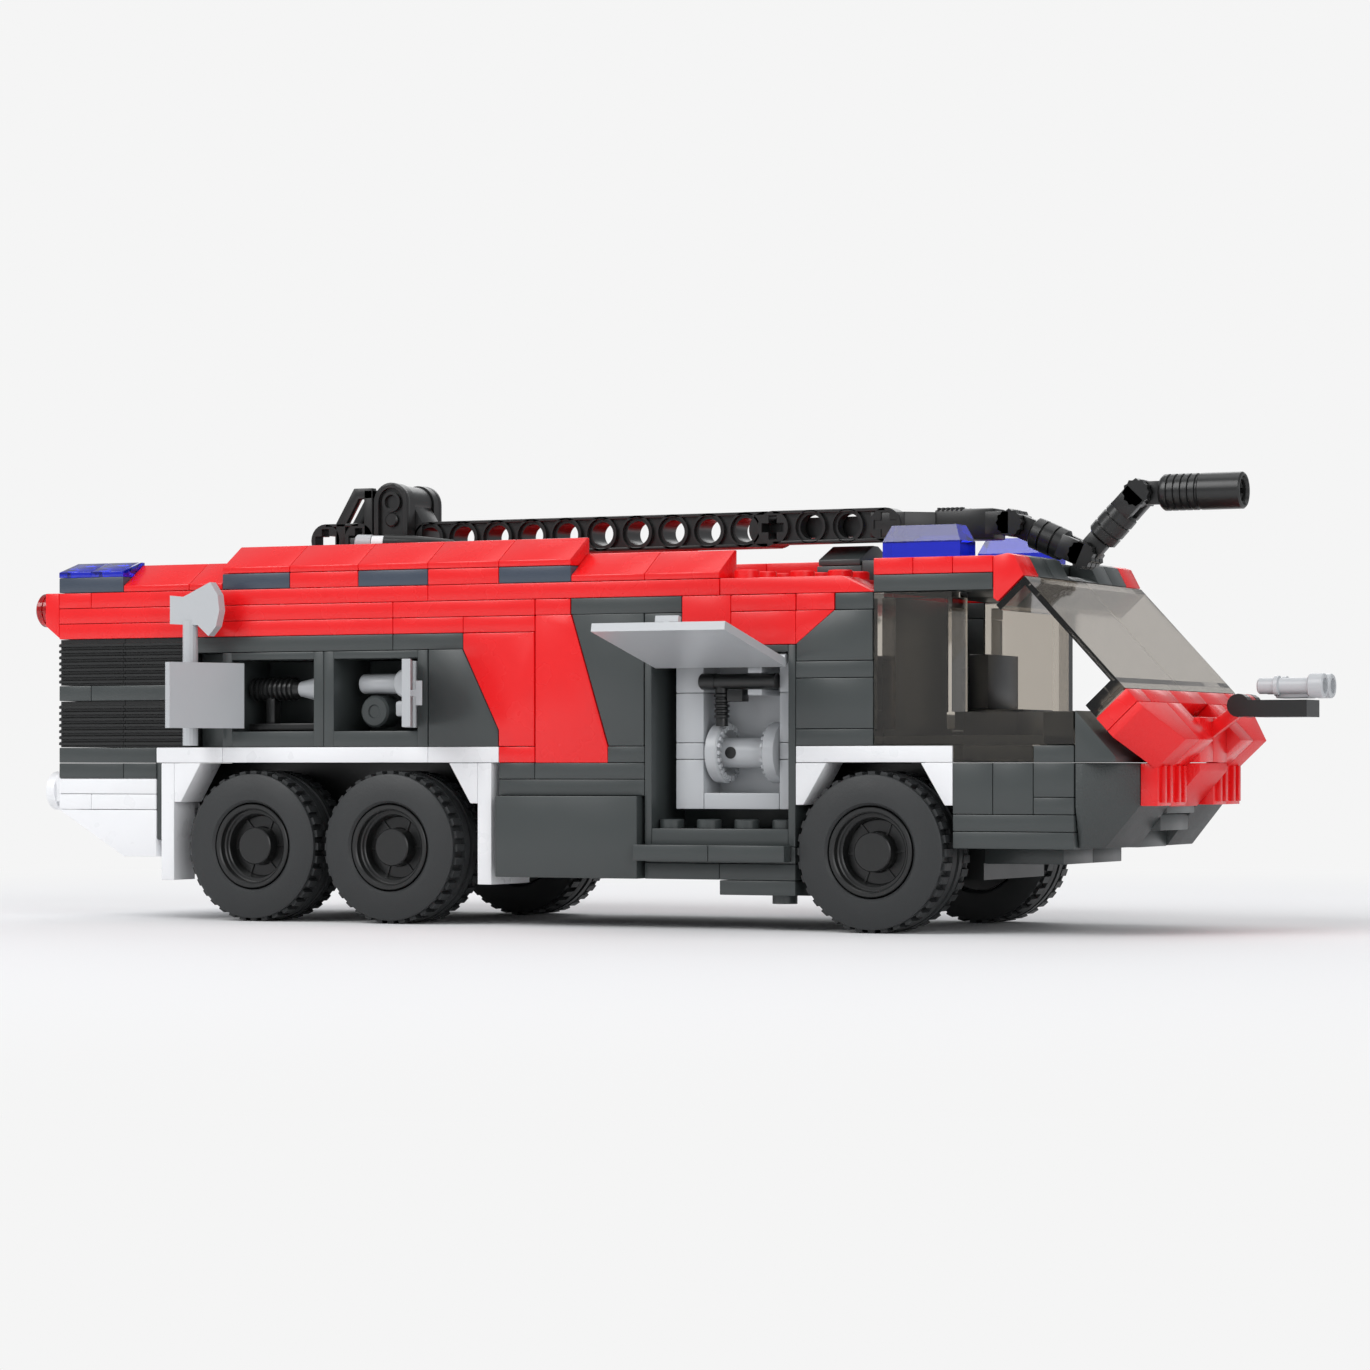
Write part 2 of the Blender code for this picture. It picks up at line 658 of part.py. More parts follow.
def build_upper_body():
    """The red body above the cupboards: side rows, the slanted sash, the roof deck and its edge slopes."""
    side_outline = [
        (0, 18), (12, 18), (12, 17), (13, 12), (13, 10), (16, 10), (16, 11), (15, 19),
        (15, 20), (18, 20), (18, 17), (21, 17), (22, 19), (22, 20), (23, 20), (22, 21), (0, 21),
    ]
    slopes = (
        # x0, x1, level
        (2, 5, 21),
        (5, 15, 22),
        (15, 19, 21),
    )
    parts = [
        block(0, 22, -INNER, INNER, 20, 21),
        block(0, 1, -INNER, INNER, 18, 20),
        block(5, 15, -INNER, INNER, 21, 22),
    ]
    for _, side in SIDES:
        outer = mirrored_studs(side, INNER, HALF_WIDTH)
        parts.append(side_wall(side_outline, *outer))
        parts.append(block(0, 2, *outer, 21, 22))
        parts.append(block(5, 15, *outer, 21, 22))
        parts += [roof_slope(x0, x1, level, side) for x0, x1, level in slopes]
        bracket = [(0, 18), (-TAIL_BRACKET / STUD, 18.9), (-TAIL_BRACKET / STUD, 21), (0, 21)]
        parts.append(side_wall(bracket, *outer))
    brick_node("upper_body", union(*parts), "red_abs")


def build_tail_light(side_name, side):
    """A round red lamp on the rear bracket."""
    centre = (0, side * across(INNER + 0.5), height(19.95))
    start = -CENTRE - TAIL_BRACKET
    lamp = rod("x", centre, TAIL_LIGHT_DIAMETER / 2, (start - TAIL_LIGHT, start - MOULD_GAP), sides=20)
    finish(f"tail_light_{side_name}", lamp, "red_polycarbonate", smooth=True)


def build_rear_beacon(side_name, side):
    """The blue slope at a rear roof corner."""
    outline = [(HALF_WIDTH, 22), (HALF_WIDTH, 22.35), (INNER + 0.2, 23), (INNER, 23), (INNER, 22)]
    lamp = prism("x", [(side * across(y), height(h)) for y, h in outline], (along(0), along(2)))
    brick_node(f"beacon_rear_{side_name}", lamp, "blue_polycarbonate")


def build_roof_rails():
    """The black grab rails on the rear deck, joined by their foot plate."""
    parts = [block(1.5, 4.5, -1.5, 1.5, 21, 21.5)]
    rail = [(1.6, 21.2), (1.8, 23.0), (4.0, 23.0), (4.4, 21.2)]
    rail += [(4.0, 21.2), (3.8, 22.4), (2.1, 22.4), (2.0, 21.2)]
    for _, side in SIDES:
        parts.append(side_wall(rail, *mirrored_studs(side, 1.0, 1.4)))
    brick_node("roof_rails", union(*parts), "black_abs")


# Cab


def build_cab_body():
    """The dark cab tub: rear bulkhead, corner posts, floor, sills, front block and dash."""
    parts = [
        block(21, 22.3, -INNER, INNER, 11, 20),
        block(24, 28, -INNER, INNER, 10, 11),
        block(21, 28, -INNER, INNER, 11, 11.6),
        block(25, 28, -HALF_WIDTH, HALF_WIDTH, 5, 10),
        block(27, 28, -INNER, INNER, 11, 13),
        side_wall([(28, 10), (29, 10), (29, 10.35), (28, 13)], -HALF_WIDTH, HALF_WIDTH),
    ]
    for _, side in SIDES:
        outer = mirrored_studs(side, INNER, HALF_WIDTH)
        parts.append(side_wall([(21, 11), (23, 11), (23, 20), (22, 20), (22, 19), (21, 17)], *outer))
        parts.append(block(27, 28, *outer, 10, 11))
    brick_node("cab_body", union(*parts), "dark_grey_abs")


def build_cab_glass(side_name, side):
    """The smoke side window with its deep frame, and the low clear bricks under the door opening."""
    outer = mirrored_studs(side, INNER, HALF_WIDTH)
    made = union(
        block(23, 25, *outer, 11, 20),
        block(25, 27, *outer, 10, 13),
        block(27, 28, *outer, 11, 13),
    )
    hollow = block(23.2, 24.8, *mirrored_studs(side, INNER - 0.1, HALF_WIDTH - 0.2), 12, 19.6)
    brick_node(f"cab_glass_{side_name}", cut(made, hollow), "smoke_polycarbonate")


SCREEN_TOP = Vector((along(ROOF_END) + SCREEN_TOP_FROM_ROOF, 0, height(21) - 0.0006))
SCREEN_FALL = Vector((along(SCREEN_BOTTOM[0]), 0, height(SCREEN_BOTTOM[1]))) - SCREEN_TOP
SCREEN_LENGTH = SCREEN_FALL.length
DOWN = SCREEN_FALL.normalized()
OUT = Vector((-DOWN.z, 0, DOWN.x))


def tilted(down, deep):
    """(x, z) of a point a distance down the windscreen and a depth behind its outer face."""
    place = SCREEN_TOP + DOWN * down - OUT * deep
    return place.x, place.z


def build_windscreen(side_name, side):
    """One half of the tilted windscreen: glass between a head and a foot as deep as a stud."""
    outline = [
        tilted(0, 0),
        tilted(SCREEN_LENGTH, 0),
        tilted(SCREEN_LENGTH, SCREEN_DEPTH),
        tilted(SCREEN_LENGTH - SCREEN_FOOT, SCREEN_DEPTH),
        tilted(SCREEN_LENGTH - SCREEN_FOOT, SCREEN_GLASS),
        tilted(SCREEN_HEAD, SCREEN_GLASS),
        tilted(SCREEN_HEAD, SCREEN_DEPTH),
        tilted(0, SCREEN_DEPTH),
    ]
    half = prism("y", outline, sorted((0, side * across(HALF_WIDTH))))
    brick_node(f"windscreen_{side_name}", half, "smoke_polycarbonate")


def build_cab_roof():
    """The roof plates over the cab, and the row of small slopes along the windscreen's head."""
    base = block(23, ROOF_END, -HALF_WIDTH, HALF_WIDTH, 20, 22)
    front = along(ROOF_END)
    crest = (front + 0.0030, height(22) + 0.0005)
    trim = [
        (front, tilted(0, SCREEN_DEPTH)[1] + 0.0012),
        tilted(0, SCREEN_DEPTH - 0.0008),
        tilted(0, 0),
        (crest[0] + 0.0012, crest[1] - 0.0004),
        crest,
        (front, height(22)),
    ]
    made = union(base, prism("y", trim, (across(-HALF_WIDTH), across(HALF_WIDTH))))
    low = ELBOW[2] - LINK_RADIUS - 0.0009
    notch = [(front, low), (front + 0.01, low), (front + 0.01, low + 0.01), (front, low + 0.01)]
    width = LINK_RADIUS + 0.0008
    brick_node("cab_roof", cut(made, prism("y", notch, (-width, width))), "red_abs")


def build_front_beacon(side_name, side):
    """The blue lamp on the cab roof, chamfered all round its top."""
    y0, y1 = (side * across(INNER + 0.5), side * across(INNER - 0.5))
    x0, x1 = along(23), along(25)
    inset = 0.0014
    levels = []
    for level, draw in ((22, 0), (23, 0), (24, inset)):
        toward = math.copysign(draw, y1 - y0)
        low, high = (x0 + draw, y0 + toward), (x1 - draw, y1 - toward)
        corners = (low, (high[0], low[1]), high, (low[0], high[1]))
        levels.append([(x, y, height(level)) for x, y in corners])
    brick_node(f"beacon_front_{side_name}", loft(levels), "blue_polycarbonate")


# Nose


def build_nose_lower():
    """The dark chin of the cab, its corners cut back in plan and undercut below."""
    chin = []
    for level, plan in (
        (5, ((28, HALF_WIDTH - 0.3), (28.35, INNER + 0.4), (28.5, INNER))),
        (7.5, ((28, HALF_WIDTH), (28.25, HALF_WIDTH), (29.25, INNER))),
        (10, ((28, HALF_WIDTH), (28.25, HALF_WIDTH), (29.25, INNER))),
    ):
        ring = [(along(x), -across(y), height(level)) for x, y in plan]
        ring += [(along(x), across(y), height(level)) for x, y in reversed(plan)]
        chin.append(ring)
    tile = block(28, 29.04, -1, 1, 6, 7)
    brick_node("nose_lower", union(loft(chin), tile), "dark_grey_abs")


TILT_PLATE = PLATE
TILT_BRICK = 3 * PLATE
TURRET_PIVOT = (along(NOSE_FRONT) + 0.0061, 0.0, height(13) + 0.0011)
TURRET_KNUCKLE = 0.0022


def build_nose():
    """The red nose: tilted blocks under the windscreen, wedge, ribbed plates and the turret's finger."""
    plate_end = SCREEN_LENGTH + TILT_PLATE
    brick_end = plate_end + TILT_BRICK
    right_half = [(plate_end, 1), (brick_end, 1), (brick_end, INNER), (plate_end + 0.0016, HALF_WIDTH)]
    right_half.append((SCREEN_LENGTH, HALF_WIDTH))
    plan = right_half + [(down, -y) for down, y in reversed(right_half)]
    levels = []
    for deep in (0, SCREEN_DEPTH):
        places = [(*tilted(down, deep), y) for down, y in plan]
        levels.append([(x, across(y), z) for x, z, y in places])
    parts = [loft(levels)]
    for _, side in SIDES:
        parts.append(block(29.25, 29.66, *mirrored_studs(side, 1, INNER), 7.5, 10))
    centre = [(29.25, 7.4), (NOSE_FRONT, 9.5), (NOSE_FRONT, 12.66), (29.25, 12.66)]
    parts.append(side_wall(centre, -1, 1))
    x, _, z = TURRET_PIVOT
    parts.append(rod("y", (x, 0, z), TURRET_KNUCKLE, (-0.0012, 0.0012), sides=16))
    root = along(NOSE_FRONT) - 0.001
    arm = [(root, height(12.2)), (root, height(11.2)), (x, z - 0.0015), (x, z + 0.0015)]
    parts.append(prism("y", arm, (-0.0011, 0.0011)))
    brick_node("nose", union(*parts), "red_abs")


def build_bumper_turret():
    """The black tilting plate on the nose, and the light grey twin nozzle on it."""
    x, _, z = TURRET_PIVOT
    half = across(0.5)
    plate_start = x + TURRET_KNUCKLE + 0.0009
    plate_end = x + 0.0133
    under = z - TURRET_KNUCKLE
    top = under + PLATE
    outline = [(plate_start, under), (plate_end, under), (plate_end, top), (plate_start, top)]
    parts = [prism("y", outline, (-half, half))]
    for side in (-1, 1):
        span = sorted((side * 0.0015, side * half))
        parts.append(rod("y", (x, 0, z), TURRET_KNUCKLE, span, sides=16))
        into = plate_start + 0.0005
        bridge = [(x, under + 0.0001), (into, under + 0.0001), (into, top), (x, top)]
        parts.append(prism("y", bridge, span))
    finish("turret_arm", union(*parts), "black_abs", pivot=(x, 0, z))
    tip = along(NOSE_FRONT) + NOZZLE_REACH
    level = top + MOULD_GAP + 0.0023
    tubes = []
    for y in (-0.00245, 0.00245):
        tubes.append(
            turned(
                [(tip - 0.0130, 0.0015), (tip - 0.0050, 0.0015), (tip - 0.0048, 0.0023), (tip, 0.0023)],
                16,
                "x",
                (0, y, level),
            )
        )
    bridge = prism(
        "z",
        [(tip - 0.0105, -0.0026), (tip - 0.0030, -0.0026), (tip - 0.0030, 0.0026), (tip - 0.0105, 0.0026)],
        (top + MOULD_GAP, level + 0.0008),
    )
    finish("turret_nozzle", union(bridge, *tubes), "light_grey_abs", pivot=(x, 0, z))


# Boom on the roof

BOOM_PIVOT_STATION = 8.13  # studs
DECK = height(22)
BEAM_LEVEL = DECK + BOOM_LEVEL
BOOM_PIVOT = (along(BOOM_PIVOT_STATION), 0.0, BEAM_LEVEL + PIVOT_DROP)


def build_boom_tower():
    """The black tower: foot plate, two round-topped cheeks, the finned block behind and the short arm."""
    x, _, z = BOOM_PIVOT
    wide = 0.5 * STUD
    inner = BEAM_WIDTH / 2 + MOULD_GAP
    outer = inner + CHEEK_THICKNESS
    foot = prism(
        "z",
        [(along(5.75), -outer), (x + wide, -outer), (x + wide, outer), (along(5.75), outer)],
        (DECK + MOULD_GAP, BEAM_LEVEL - BEAM_HEIGHT / 2 - 3 * MOULD_GAP),
    )
    parts = [foot]
    for side in (-1, 1):
        span = sorted((side * inner, side * outer))
        arc = [math.radians(a) for a in range(0, 181, 15)]
        outline = [(x + wide * math.cos(a), z + wide * math.sin(a)) for a in arc]
        outline += [(x - wide, DECK + 0.001), (x + wide, DECK + 0.001)]
        parts.append(prism("y", outline, span))
    ahead = x - wide - MOULD_GAP
    fins = [
        (along(6.5), DECK + 0.001),
        (along(6.5), BEAM_LEVEL + 0.0035),
        (along(7.04), z + 0.0030),
        (ahead, z + 0.0030),
        (ahead, DECK + 0.001),
    ]
    parts.append(prism("y", fins, (-outer, outer)))
    arm = [
        (along(5.75), DECK + 0.001),
        (along(5.75), BEAM_LEVEL + 0.0020),
        (along(5.95), BEAM_LEVEL + 0.0034),
        (along(6.6), BEAM_LEVEL + 0.0034),
        (along(6.6), DECK + 0.001),
    ]
    parts.append(prism("y", arm, (-outer, -inner)))
    finish("boom_tower", union(*parts), "black_abs")


REST_STATION = 20.2  # studs


def build_boom_rest():
    """The dark slope on the roof that the lowered boom rests on."""
    top = BEAM_LEVEL - BEAM_HEIGHT / 2 - MOULD_GAP / 2
    deck = height(21)
    outline = [
        (along(REST_STATION), deck),
        (along(REST_STATION + 1.2), deck),
        (along(REST_STATION + 1.2), deck + 0.4 * PLATE),
        (along(REST_STATION + 0.6), top),
        (along(REST_STATION), top),
    ]
    rest = prism("y", outline, (across(-1), across(1)))
    brick_node("boom_rest", rest, "dark_grey_abs")


BEAM_REAR = 8.72  # studs
BEAM_FRONT = 19
THIN_BEAM_FRONT = 22.45
CANNON_BLOCK_REAR = 22.2
CANNON_BLOCK_FRONT = 24.62
BASE_PIVOT = (along(CANNON_BLOCK_FRONT) + KNUCKLE_RADIUS + 0.0002, 0.0, BEAM_LEVEL)


def rounded_bar(x0, x1, z, tall):
    """An (x, z) outline with straight rear end and a half-round front end."""
    r = tall / 2
    arc = [math.radians(a) for a in range(-90, 91, 15)]
    return [(x0, z - r)] + [(x1 - r + r * math.cos(a), z + r * math.sin(a)) for a in arc] + [(x0, z + r)]


def build_boom():
    """The lifting boom: pierced beam, thin side beam, ribbed front block and the lug round the pivot."""
    x, _, z = BOOM_PIVOT
    half = BEAM_WIDTH / 2
    bar = prism("y", rounded_bar(along(BEAM_REAR), along(BEAM_FRONT), BEAM_LEVEL, BEAM_HEIGHT), (-half, half))
    holes = [
        rod("y", (along(station), 0, BEAM_LEVEL), BEAM_HOLE / 2, (-0.01, 0.01), sides=12)
        for station in range(9, BEAM_FRONT)
    ]
    bar = cut(bar, *holes)
    into = along(BEAM_REAR) + 0.0008
    tall = BEAM_HEIGHT / 2
    lug_outline = [
        (x - 0.0030, z),
        (x + 0.0030, z),
        (into, BEAM_LEVEL + tall),
        (into, BEAM_LEVEL - tall),
        (x - 0.0022, BEAM_LEVEL - tall),
    ]
    lug = prism("y", lug_outline, (-half, half))
    roller = rod("y", (x, 0, z), PIVOT_RADIUS, (-half, half), sides=20)
    thin = prism(
        "y",
        rounded_bar(along(18.55), along(THIN_BEAM_FRONT), BEAM_LEVEL, BEAM_HEIGHT - 0.0004),
        (-half - 0.0040, -half + 0.0002),
    )
    block_out = prism(
        "z",
        [
            (along(21.6), -half - 0.0038),
            (along(CANNON_BLOCK_REAR + 0.3), -half - 0.0038),
            (along(CANNON_BLOCK_REAR + 0.9), -LINK_RADIUS),
            (along(CANNON_BLOCK_REAR + 0.9), LINK_RADIUS),
            (along(21.6), LINK_RADIUS),
        ],
        (BEAM_LEVEL - 0.0024, BEAM_LEVEL + 0.0024),
    )
    rear_join = prism(
        "z",
        [
            (along(18.4), -half + 0.0001),
            (along(21.7), -half + 0.0001),
            (along(21.7), LINK_RADIUS),
            (along(18.4), LINK_RADIUS),
        ],
        (BEAM_LEVEL - 0.0020, BEAM_LEVEL + 0.0020),
    )
    span = (along(CANNON_BLOCK_REAR), along(CANNON_BLOCK_FRONT))
    barrel = rod("x", (0, 0, BEAM_LEVEL), LINK_RADIUS, span, sides=16)
    fork = fork_pair(BASE_PIVOT, (-1, 0))
    made = union(bar, lug, roller, thin, block_out, rear_join, barrel, *fork)
    finish("boom_beam", made, "black_abs", pivot=BOOM_PIVOT)


FORK_INNER = 0.0013
FORK_OUTER = 0.0032


def fork_pair(pivot, back):
    """The two outer fingers of a click hinge at a pivot, reaching back along the (x, z) direction back."""
    parts = []
    x, _, z = pivot
    bx, bz = back
    r = KNUCKLE_RADIUS
    for side in (-1, 1):
        span = sorted((side * FORK_INNER, side * FORK_OUTER))
        parts.append(rod("y", (x, 0, z), r, span, sides=14))
        far = LINK_CLEAR + FINGER_ROOT
        outline = [
            (x - bz * r * 0.95, z + bx * r * 0.95),
            (x + bx * far - bz * r * 0.95, z + bz * far + bx * r * 0.95),
            (x + bx * far + bz * r * 0.95, z + bz * far - bx * r * 0.95),
            (x + bz * r * 0.95, z - bx * r * 0.95),
        ]
        parts.append(prism("y", outline, span))
    return parts


def finger(pivot, ahead):
    """The middle finger of a click hinge at a pivot, reaching along the (x, z) direction ahead."""
    x, _, z = pivot
    ax, az = ahead
    r = KNUCKLE_RADIUS
    half = FORK_INNER - RUNNING_GAP
    far = LINK_CLEAR + FINGER_ROOT
    outline = [
        (x - az * r * 0.95, z + ax * r * 0.95),
        (x + ax * far - az * r * 0.95, z + az * far + ax * r * 0.95),
        (x + ax * far + az * r * 0.95, z + az * far - ax * r * 0.95),
        (x + az * r * 0.95, z - ax * r * 0.95),
    ]
    return [rod("y", (x, 0, z), r, (-half, half), sides=14), prism("y", outline, (-half, half))]


def slanted_bar(start, end, radius, trim0, trim1):
    """A round bar from start to end in the XZ plane, cut short at each end."""
    begin, finish_at = Vector(start), Vector(end)
    direction = (finish_at - begin).normalized()
    length = (finish_at - begin).length
    bar = rod("x", (0, 0, 0), radius, (trim0, length - trim1), sides=16)
    turn = math.atan2(direction.z, direction.x)
    bar.data.transform(Matrix.Translation(begin) @ Matrix.Rotation(-turn, 4, "Y"))
    return bar


LOWER_LINK_ANGLE = -24.0  # degrees above level
UPPER_LINK_ANGLE = 46.0


def link_end(start, angle):
    """The pivot at the far end of a cannon link."""
    turn = math.radians(angle)
    return (start[0] + LINK_LENGTH * math.cos(turn), 0.0, start[2] + LINK_LENGTH * math.sin(turn))


ELBOW = link_end(BASE_PIVOT, LOWER_LINK_ANGLE)
WRIST = link_end(ELBOW, UPPER_LINK_ANGLE)


def build_link(name, start, end):
    """A black click-hinge link: one finger at its start, two at its end."""
    direction = (Vector(end) - Vector(start)).normalized()
    ahead = (direction.x, direction.z)
    parts = [slanted_bar(start, end, LINK_RADIUS, LINK_CLEAR, LINK_CLEAR)]
    parts += finger(start, ahead)
    parts += fork_pair(end, (-ahead[0], -ahead[1]))
    finish(name, union(*parts), "black_abs", pivot=start)


def build_cannon():
    """The two links and the level water cannon at the boom's tip."""
    build_link("cannon_lower_link", BASE_PIVOT, ELBOW)
    build_link("cannon_upper_link", ELBOW, WRIST)
    x, _, z = WRIST
    tube = rod("x", (0, 0, z), CANNON_RADIUS, (x + LINK_CLEAR, x + CANNON_LENGTH), sides=20)
    mouth = rod("x", (0, 0, z), 0.0024, (x + CANNON_LENGTH - 0.004, x + CANNON_LENGTH + 0.01), sides=12)
    made = cut(union(tube, *finger(WRIST, (1, 0))), mouth)
    finish("cannon_nozzle", made, "black_abs", pivot=WRIST)


def main():
    """Clears the scene and builds every piece."""
    for old in list(bpy.data.objects):
        bpy.data.objects.remove(old)
    build_chassis()
    stations = (("rear", REAR_AXLES[0]), ("middle", REAR_AXLES[1]), ("front", FRONT_AXLE))
    for place, station in stations:
        build_axle(f"axle_{place}", station)
        for side_name, side in SIDES:
            build_wheel(place, side_name, side, station)
    build_rear_bumper()
    build_rear_body()
    build_engine_grille()
    build_rear_mudguards()
    build_front_mudguards()
    build_mid_body()
    build_upper_body()
    build_roof_rails()
    build_cab_body()
    build_cab_roof()
    build_nose_lower()
    build_nose()
    build_bumper_turret()
    build_boom_tower()
    build_boom_rest()
    build_boom()
    build_cannon()
    for side_name, side in SIDES:
        build_cupboard(side_name, side)
        build_door(0, side_name, side)
        build_door(1, side_name, side)
        build_axe(side_name, side)
        build_hose_bay(side_name, side)
        build_hose_rack(side_name, side)
        build_flap(side_name, side)
        build_tail_light(side_name, side)
        build_rear_beacon(side_name, side)
        build_cab_glass(side_name, side)
        build_windscreen(side_name, side)
        build_front_beacon(side_name, side)


main()
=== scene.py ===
"""The looks of a brick-built toy airport fire truck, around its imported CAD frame.

Everything is counted as the toy is built: x in studs from the rear face of the side walls, y in studs
from the centre line, and h in plates from the ground. Sizes that are off this grid are in millimetres.
"""

import json
import logging
import math
from collections.abc import Callable, Iterable, Sequence
from dataclasses import dataclass, field
from enum import Enum

import bmesh
import bpy
from mathutils import Matrix, Vector

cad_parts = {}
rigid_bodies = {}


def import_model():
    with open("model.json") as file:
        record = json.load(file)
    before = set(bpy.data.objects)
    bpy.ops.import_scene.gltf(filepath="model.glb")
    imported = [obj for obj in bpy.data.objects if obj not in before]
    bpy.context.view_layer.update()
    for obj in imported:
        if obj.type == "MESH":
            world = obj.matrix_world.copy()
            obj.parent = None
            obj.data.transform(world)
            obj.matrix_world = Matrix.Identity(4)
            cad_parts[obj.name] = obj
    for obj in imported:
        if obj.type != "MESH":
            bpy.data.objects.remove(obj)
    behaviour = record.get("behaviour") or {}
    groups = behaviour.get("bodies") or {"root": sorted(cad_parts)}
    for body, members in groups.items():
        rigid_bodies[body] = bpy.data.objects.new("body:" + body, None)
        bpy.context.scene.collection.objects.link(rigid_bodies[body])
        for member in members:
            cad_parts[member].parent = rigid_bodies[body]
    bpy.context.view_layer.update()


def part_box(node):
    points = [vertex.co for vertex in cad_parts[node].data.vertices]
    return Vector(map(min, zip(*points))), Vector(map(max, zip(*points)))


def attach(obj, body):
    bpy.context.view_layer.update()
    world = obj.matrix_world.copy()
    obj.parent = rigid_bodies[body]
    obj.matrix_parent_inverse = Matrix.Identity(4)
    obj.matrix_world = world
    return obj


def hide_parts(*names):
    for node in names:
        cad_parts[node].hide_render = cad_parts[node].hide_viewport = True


log = logging.getLogger("fire_truck")

STUD = 8.0  # mm
PLATE = 3.2  # mm
GAP = 0.3  # mm, what neighbouring CAD pieces leave between them
SEAM = 0.05  # mm, what a brick is smaller than its place by, on each face
EDGE = 0.16  # mm, the rounding of a moulded edge
STUD_RADIUS = 2.4  # mm
STUD_HEIGHT = 1.7  # mm
SIDES = (-1, 1)
SIDE_NAMES = {-1: "right", 1: "left"}

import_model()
REAR_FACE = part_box("engine_grille")[0].x * 1000 - GAP / 2  # mm, x of the side walls' rear face

Point = tuple[float, float]
Span = tuple[float, float]


def place(x: float, y: float, z: float) -> Vector:
    """A point in the frame, in metres, from millimetres along, across and up."""
    return Vector((x + REAR_FACE, y, z)) / 1000


# Materials


def linear(code: str) -> tuple[float, float, float, float]:
    """A linear colour from an sRGB hex value.

    Args:
        code: the colour as six hex digits after a #.

    Returns:
        red, green, blue and alpha, from 0 to 1.
    """
    values = [int(code[i : i + 2], 16) / 255 for i in (1, 3, 5)]
    flat = [v / 12.92 if v <= 0.04045 else ((v + 0.055) / 1.055) ** 2.4 for v in values]
    return (*flat, 1.0)


def add_node(
    material: bpy.types.Material,
    kind: str,
    settings: dict[str, object] | None = None,
    inputs: dict[str | int, object] | None = None,
) -> bpy.types.Node:
    """Adds a shader node with its settings and links.

    Args:
        material: the material whose tree it goes into.
        kind: the node's type name.
        settings: attributes of the node.
        inputs: socket values, or output sockets to link from.

    Returns:
        the new node.
    """
    tree = material.node_tree
    node = tree.nodes.new(kind)
    for name, value in (settings or {}).items():
        setattr(node, name, value)
    for name, value in (inputs or {}).items():
        if isinstance(value, bpy.types.NodeSocket):
            tree.links.new(value, node.inputs[name])
        else:
            node.inputs[name].default_value = value
    return node


@dataclass(frozen=True)
class MouldedPlastic:
    """Injection-moulded plastic: glossy, with a moulded face's faint waviness and a fine haze in its gloss.

    ripple_mm is the spacing of the waviness. grain_mm is that of a spark-eroded texture, 0 where the face
    is polished.
    """

    name: str
    slot: str
    colour: str
    roughness: float
    ior: float = 1.54
    transmission: float = 0.0
    ripple_mm: float = 5.0
    ripple_depth: float = 0.04
    grain_mm: float = 0.0
    grain_depth: float = 0.0
    shade: float = 0.04

    def material(self) -> bpy.types.Material:
        """The Blender material, made once."""
        known = bpy.data.materials.get(self.name)
        if known:
            return known
        made = bpy.data.materials.new(self.name)
        made.use_nodes = True
        shader = made.node_tree.nodes["Principled BSDF"]
        where = add_node(made, "ShaderNodeTexCoord").outputs["Object"]
        ripple = add_node(
            made,
            "ShaderNodeTexNoise",
            inputs={"Vector": where, "Scale": 1000 / self.ripple_mm, "Detail": 2.0},
        ).outputs["Fac"]
        tone = linear(self.colour)
        darker = tuple(c * (1 - self.shade) for c in tone[:3]) + (1.0,)
        mixed = add_node(made, "ShaderNodeMix", {"data_type": "RGBA"}, {0: ripple, 6: darker, 7: tone})
        made.node_tree.links.new(mixed.outputs[2], shader.inputs["Base Color"])
        haze = add_node(
            made,
            "ShaderNodeMapRange",
            inputs={"Value": ripple, "To Min": self.roughness * 0.85, "To Max": self.roughness * 1.2},
        )
        made.node_tree.links.new(haze.outputs[0], shader.inputs["Roughness"])
        bump = add_node(
            made,
            "ShaderNodeBump",
            inputs={"Height": ripple, "Strength": self.ripple_depth, "Distance": 0.0002},
        )
        if self.grain_mm:
            grain = add_node(
                made,
                "ShaderNodeTexNoise",
                inputs={"Vector": where, "Scale": 1000 / self.grain_mm, "Detail": 3.0, "Roughness": 0.6},
            )
            bump = add_node(
                made,
                "ShaderNodeBump",
                inputs={
                    "Height": grain.outputs["Fac"],
                    "Strength": self.grain_depth,
                    "Distance": 0.0003,
                    "Normal": bump.outputs[0],
                },
            )
        made.node_tree.links.new(bump.outputs[0], shader.inputs["Normal"])
        shader.inputs["IOR"].default_value = self.ior
        shader.inputs["Transmission Weight"].default_value = self.transmission
        return made


